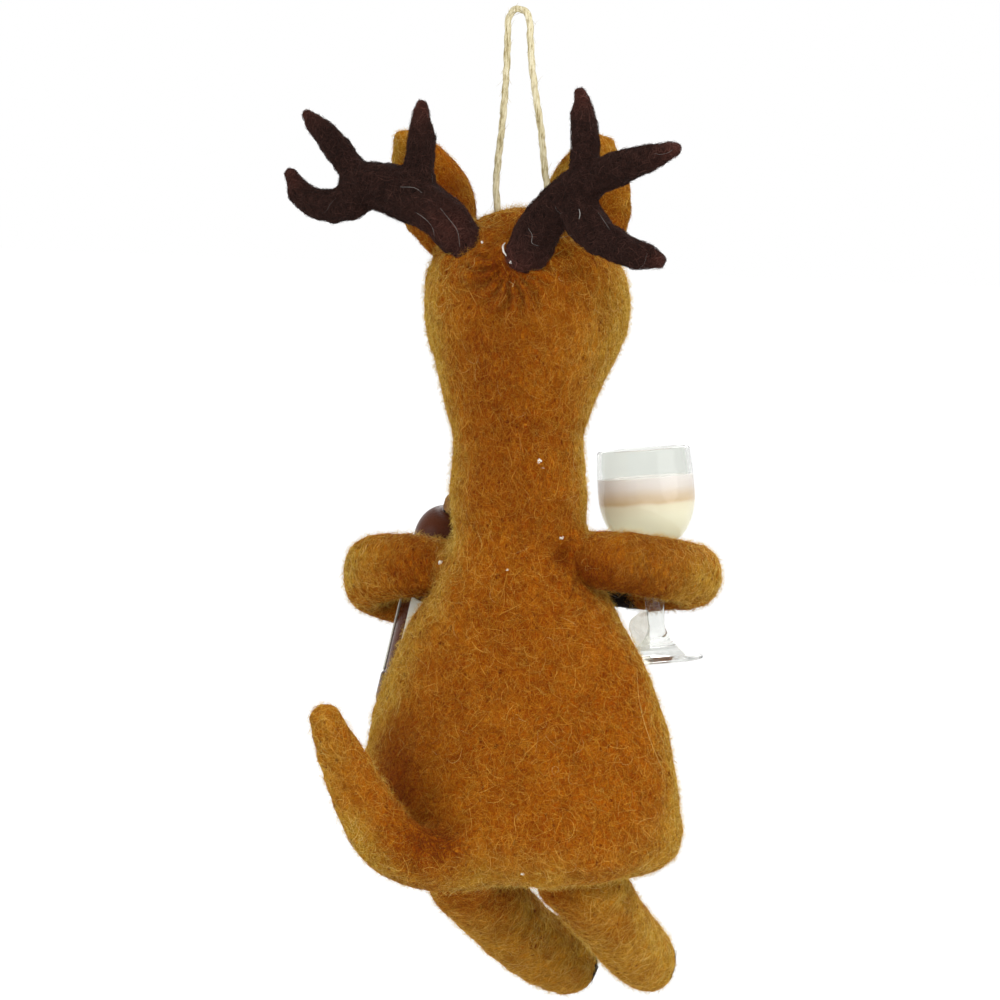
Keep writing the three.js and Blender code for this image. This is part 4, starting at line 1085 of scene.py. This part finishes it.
def make_bottle():
    profile = [(0, 0.8), (4.2, 0.6), (5.2, 0.05)]
    profile += arc((5.7, 0.9), (0.9, 0.9), -80, 0, 5)
    profile += [(6.6, 4.5), (6.6, 4.7), (6.02, 4.75), (6.02, 22.25), (6.6, 22.3), (6.6, 22.5), (6.6, 31.4)]
    profile += arc((3.1, 31.6), (3.5, 5.2), 4, 84, 12)
    profile += [(3.05, 36.9), (2.9, 37), (2.65, 36.95), (2.6, 33.7), (0, 33.7)]
    bottle = turned("bottle_glossy", profile, BOTTLE_PLACE)
    dressed(bottle, bottle_material(), "left_arm", "bottle", "bottle")
    profile = [(0, 34), (2.2, 34), (2.3, 34.3), (2.35, 37.2), (2.75, 37.3)]
    profile += [(2.9, 37.5), (2.85, 38.9), (2.72, 39.3), (2.5, 39.4), (0, 39.35)]
    cork = turned("cork_stopper", profile, BOTTLE_PLACE, sides=40)
    dressed(cork, cork_material(), "left_arm", "cork", "cork")


LABEL_START = 68
LABEL_TURN = 300
LABEL_FOOT = 5
LABEL_HEIGHT = 17
LABEL_RADII = (6.3, 6.52)


def make_label():
    """A blank paper label wrapped round the bottle, with softly curled ends."""
    across, high = 90, 14
    sides = [[], []]
    for i in range(across + 1):
        share = i / across
        angle = math.radians(LABEL_START + LABEL_TURN * share)
        peel = 0.12 * max(0, abs(share - 0.5) * 2 - 0.97) / 0.03
        for j in range(high + 1):
            height = LABEL_FOOT + LABEL_HEIGHT * j / high
            bubble = 0.03 * noise.noise(Vector((share * 9, j * 0.5, 3)))
            for radius, held in zip(LABEL_RADII, sides):
                radius += peel + bubble
                held.append((radius * math.cos(angle), radius * math.sin(angle), height))
    a = np.arange((across + 1) * (high + 1)).reshape(across + 1, high + 1)
    b = a + a.size
    faces = [
        faces_of(b[:-1, :-1], b[1:, :-1], b[1:, 1:], b[:-1, 1:]),
        faces_of(a[:-1, :-1], a[:-1, 1:], a[1:, 1:], a[1:, :-1]),
        faces_of(a[:-1, 0], a[1:, 0], b[1:, 0], b[:-1, 0]),
        faces_of(a[:-1, -1], b[:-1, -1], b[1:, -1], a[1:, -1]),
        faces_of(a[0, :-1], b[0, :-1], b[0, 1:], a[0, 1:]),
        faces_of(a[-1, :-1], a[-1, 1:], b[-1, 1:], b[-1, :-1]),
    ]
    label = moulded("paper_label", np.array(sides[0] + sides[1]), faces, BOTTLE_PLACE)
    dressed(label, paper_material(), "left_arm", "label", "bottle_label")


FOOT_TOP = (6.66, 1)
FOOT_RISE = 5.5
LIP = 0.35
BOWL_FLOOR = 1.6
BOWL_FOOT = 19.0
BOWL_HEIGHT = 17.0
BOWL_RADIUS = 8.2
RIM_RADIUS = 7.8
STEM_RADIUS = 1.4
GLASS_WALL = 0.8
WINE_TOP = 31.24


def bowl_radius(height):
    """The bowl's outer radius at a height above its foot."""
    belly = 0.55 * BOWL_HEIGHT
    if height < belly:
        return STEM_RADIUS + (BOWL_RADIUS - STEM_RADIUS) * math.sqrt(1 - (1 - height / belly) ** 2)
    above = (height - belly) / (BOWL_HEIGHT - belly)
    return BOWL_RADIUS - (BOWL_RADIUS - RIM_RADIUS) * above**2


def bowl_rows(low, high, set_back, steps=22):
    rows = []
    for k in range(steps + 1):
        height = low + (high - low) * math.sin(k / steps * math.pi / 2) ** 1.4
        rows.append((max(bowl_radius(height) - set_back, 0.02), height + BOWL_FOOT))
    return rows


def make_glass():
    profile = [(0, 0.25), (5.9, 0.2), (6.3, 0), (7.1, 0), (7.4, 0.18), (7.42, 0.42), (7.3, 0.66)]
    for k in range(13):
        share = k / 12
        radius = STEM_RADIUS + (FOOT_TOP[0] - STEM_RADIUS) * (1 - share) ** 2.2
        profile.append((radius, FOOT_TOP[1] + FOOT_RISE * share))
    lip = BOWL_HEIGHT - LIP
    profile += bowl_rows(0.05, lip, 0)
    profile += arc((RIM_RADIUS - GLASS_WALL / 2, BOWL_FOOT + lip), (GLASS_WALL / 2, LIP), 10, 170, 6)
    profile += bowl_rows(BOWL_FLOOR, lip, GLASS_WALL)[::-1]
    profile += [(0, BOWL_FOOT + BOWL_FLOOR)]
    dressed(turned("wine_glass_clear", profile, GLASS_PLACE), CLEAR, "right_arm", "clear", "wine_glass")
    fill = [(0, BOWL_FOOT + 1.5)] + bowl_rows(1.5, WINE_TOP - BOWL_FOOT, GLASS_WALL - 0.06)
    edge = fill[-1][0]
    fill += [(edge - 0.12, WINE_TOP + 0.04), (edge - 0.5, WINE_TOP - 0.1), (edge - 1.2, WINE_TOP - 0.16)]
    fill += [(0, WINE_TOP - 0.18)]
    dressed(turned("wine_fill", fill, GLASS_PLACE), wine_material(), "right_arm", "wine", "wine")


def wine_material():
    """Tinted resin in bands: cream below, salmon, then pale pink on top, glowing faintly in its own colour as
    painted light that makes up for the glass's shadow.
    """
    s = Shader("rose_resin_painted_glow")
    place = s.place()
    up = GLASS_PLACE.to_3x3().normalized().col[2]
    base = GLASS_PLACE.translation.dot(up)
    along = s.add("VectorMath", {0: place, 1: tuple(up)}, out="Value", operation="DOT_PRODUCT")
    height = s.times(s.maths("SUBTRACT", along, base), 1 / (36 * MM))
    height = s.maths("ADD", height, s.times(s.noise(place, 160.0, 2.0), 0.03))
    colour = s.ramp(
        height,
        (0.5, (246, 239, 204)),
        (0.7, (247, 242, 215)),
        (0.752, (240, 230, 202)),
        (0.77, (216, 187, 149)),
        (0.8, (221, 199, 173)),
        (0.836, (231, 220, 213)),
        (0.88, (237, 230, 227)),
    )
    return s.finish(
        Base_Color=colour,
        Roughness=0.25,
        IOR=1.33,
        Transmission_Weight=0.3,
        # Painted light: a faint glow in the wine's own colour
        Emission_Color=colour,
        Emission_Strength=0.2,
    )


# The fin of clear glue beside the stem, as millimetres to the left of the stem's middle and above the foot
GLUE_FIN = [
    (1.1, 0.9), (4.0, 0.9), (3.6, 2.2), (4.1, 3.8), (4.7, 5.4), (4.4, 7.0), (3.4, 8.0), (2.0, 8.7), (1.1, 9.0)
]
GLUE_FIN_THICK = 0.9


def make_glue_fin():
    """Hot glue that ran down between the stem and the wool, as a thin uneven fin."""
    up = GLASS_PLACE.to_3x3().normalized().col[2]
    left = Vector(-PHOTO_RIGHT)
    over = up.cross(left).normalized()
    base = GLASS_PLACE.translation
    shape = bmesh.new()
    rim = [shape.verts.new(base + (left * a + up * b - over * GLUE_FIN_THICK / 2) * MM) for a, b in GLUE_FIN]
    grown = bmesh.ops.extrude_face_region(shape, geom=[shape.faces.new(rim)])
    moved = [g for g in grown["geom"] if isinstance(g, bmesh.types.BMVert)]
    bmesh.ops.translate(shape, verts=moved, vec=over * GLUE_FIN_THICK * MM)
    bmesh.ops.recalc_face_normals(shape, faces=shape.faces)
    piece = remeshed("glue_fin", shape, 0.22, 4)
    push(piece.data, np.array([0.25 * lump(Vector(p), 1.6 * MM, 31) for p in rows_of(piece.data, "co")]))
    dressed(piece, CLEAR_GLUE, "right_arm", "clear")


make_bottle()
make_label()
make_glass()
make_glue_fin()


# Eyes
def make_eyes():
    bead = bead_material()
    for side in SIDES:
        low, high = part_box(f"{side}_eye")
        shape = bmesh.new()
        bmesh.ops.create_icosphere(shape, subdivisions=4, radius=1.0)
        eye = from_bmesh(f"{side}_eye_bead", shape)
        eye.data.transform(Matrix.Translation((high + low) / 2) @ Matrix.Diagonal((*(high - low) / 2, 1)))
        dressed(eye, bead, "torso", "bead", f"{side}_eye")


make_eyes()

# What stays of the CAD
WIRES = ["shoulder_wire", "hip_wire", *[f"{side}_{limb}_wire" for limb in ("arm", "leg") for side in SIDES]]
for node, material in {"loop_knot": JUTE, **dict.fromkeys(WIRES, STEEL)}.items():
    frame["nodes"][node].data.materials.clear()
    frame["nodes"][node].data.materials.append(material)

# Studio
FLOOR_DROP = -0.6
FLOOR_HALF = 6.0
WHITE = (1, 1, 1, 1)
LAMP_AIM = Vector((0, 0, -0.09))
# Lamps: name, place and size in metres, and watts
LAMPS = (
    ("key_lamp", (-0.75, 1.0, 0.75), 0.8, 10.2),
    ("fill_lamp", (-0.9, 0.1, 0.2), 0.9, 4.0),
    ("side_lamp", (0.9, 0.7, 0.3), 0.9, 5.0),
    ("front_lamp", (0.2, -1.1, 0.5), 0.9, 5.0),
    ("low_lamp", (-0.4, 0.75, -0.45), 0.7, 1.3),
)


def see_white(s):
    """1 for the rays that see the background: from the camera, off gloss and through glass."""
    rays = s.add("LightPath", out=None).outputs
    seen = s.maths("MAXIMUM", rays["Is Camera Ray"], rays["Is Glossy Ray"])
    return s.maths("MAXIMUM", seen, rays["Is Transmission Ray"])


def floor_material():
    """Pale floor that grows white away from the object, so that it ends in the white background."""
    s = Shader("floor_pale")
    near = s.add("VectorMath", {0: s.place()}, out="Value", operation="LENGTH")
    glow = s.add("MapRange", {"Value": near, 1: 0.8, 2: 1.9, 3: 0.4, 4: 0.62})
    paint = s.add("BsdfDiffuse", {"Color": (0.82, 0.82, 0.82, 1)})
    light = s.add("Emission", {"Color": WHITE, "Strength": s.times(see_white(s), glow)})
    s.add("OutputMaterial", {"Surface": s.add("AddShader", {0: paint, 1: light})}, out=None)
    return s.owner


def make_studio():
    s = Shader("studio", bpy.data.worlds)
    soft = s.add("Background", {"Color": WHITE, "Strength": 0.55})
    white = s.add("Background", {"Color": WHITE, "Strength": 1.0})
    shown = s.add("MixShader", {0: see_white(s), 1: soft, 2: white})
    s.add("OutputWorld", {"Surface": shown}, out=None)
    bpy.context.scene.world = s.owner
    corners = np.array([[-1, -1, 0], [1, -1, 0], [1, 1, 0], [-1, 1, 0]]) * FLOOR_HALF + [0, 0, FLOOR_DROP]
    floor = from_points("floor", corners, [faces_of(0, 1, 2, 3)], smooth=False)
    floor.data.materials.append(floor_material())
    for name, place, size, watts in LAMPS:
        data = bpy.data.lights.new(name, "AREA")
        data.shape = "DISK"
        data.size = size
        data.energy = watts
        stand(name, data, Vector(place), LAMP_AIM)
    bpy.context.scene.view_settings.view_transform = "Standard"


make_studio()
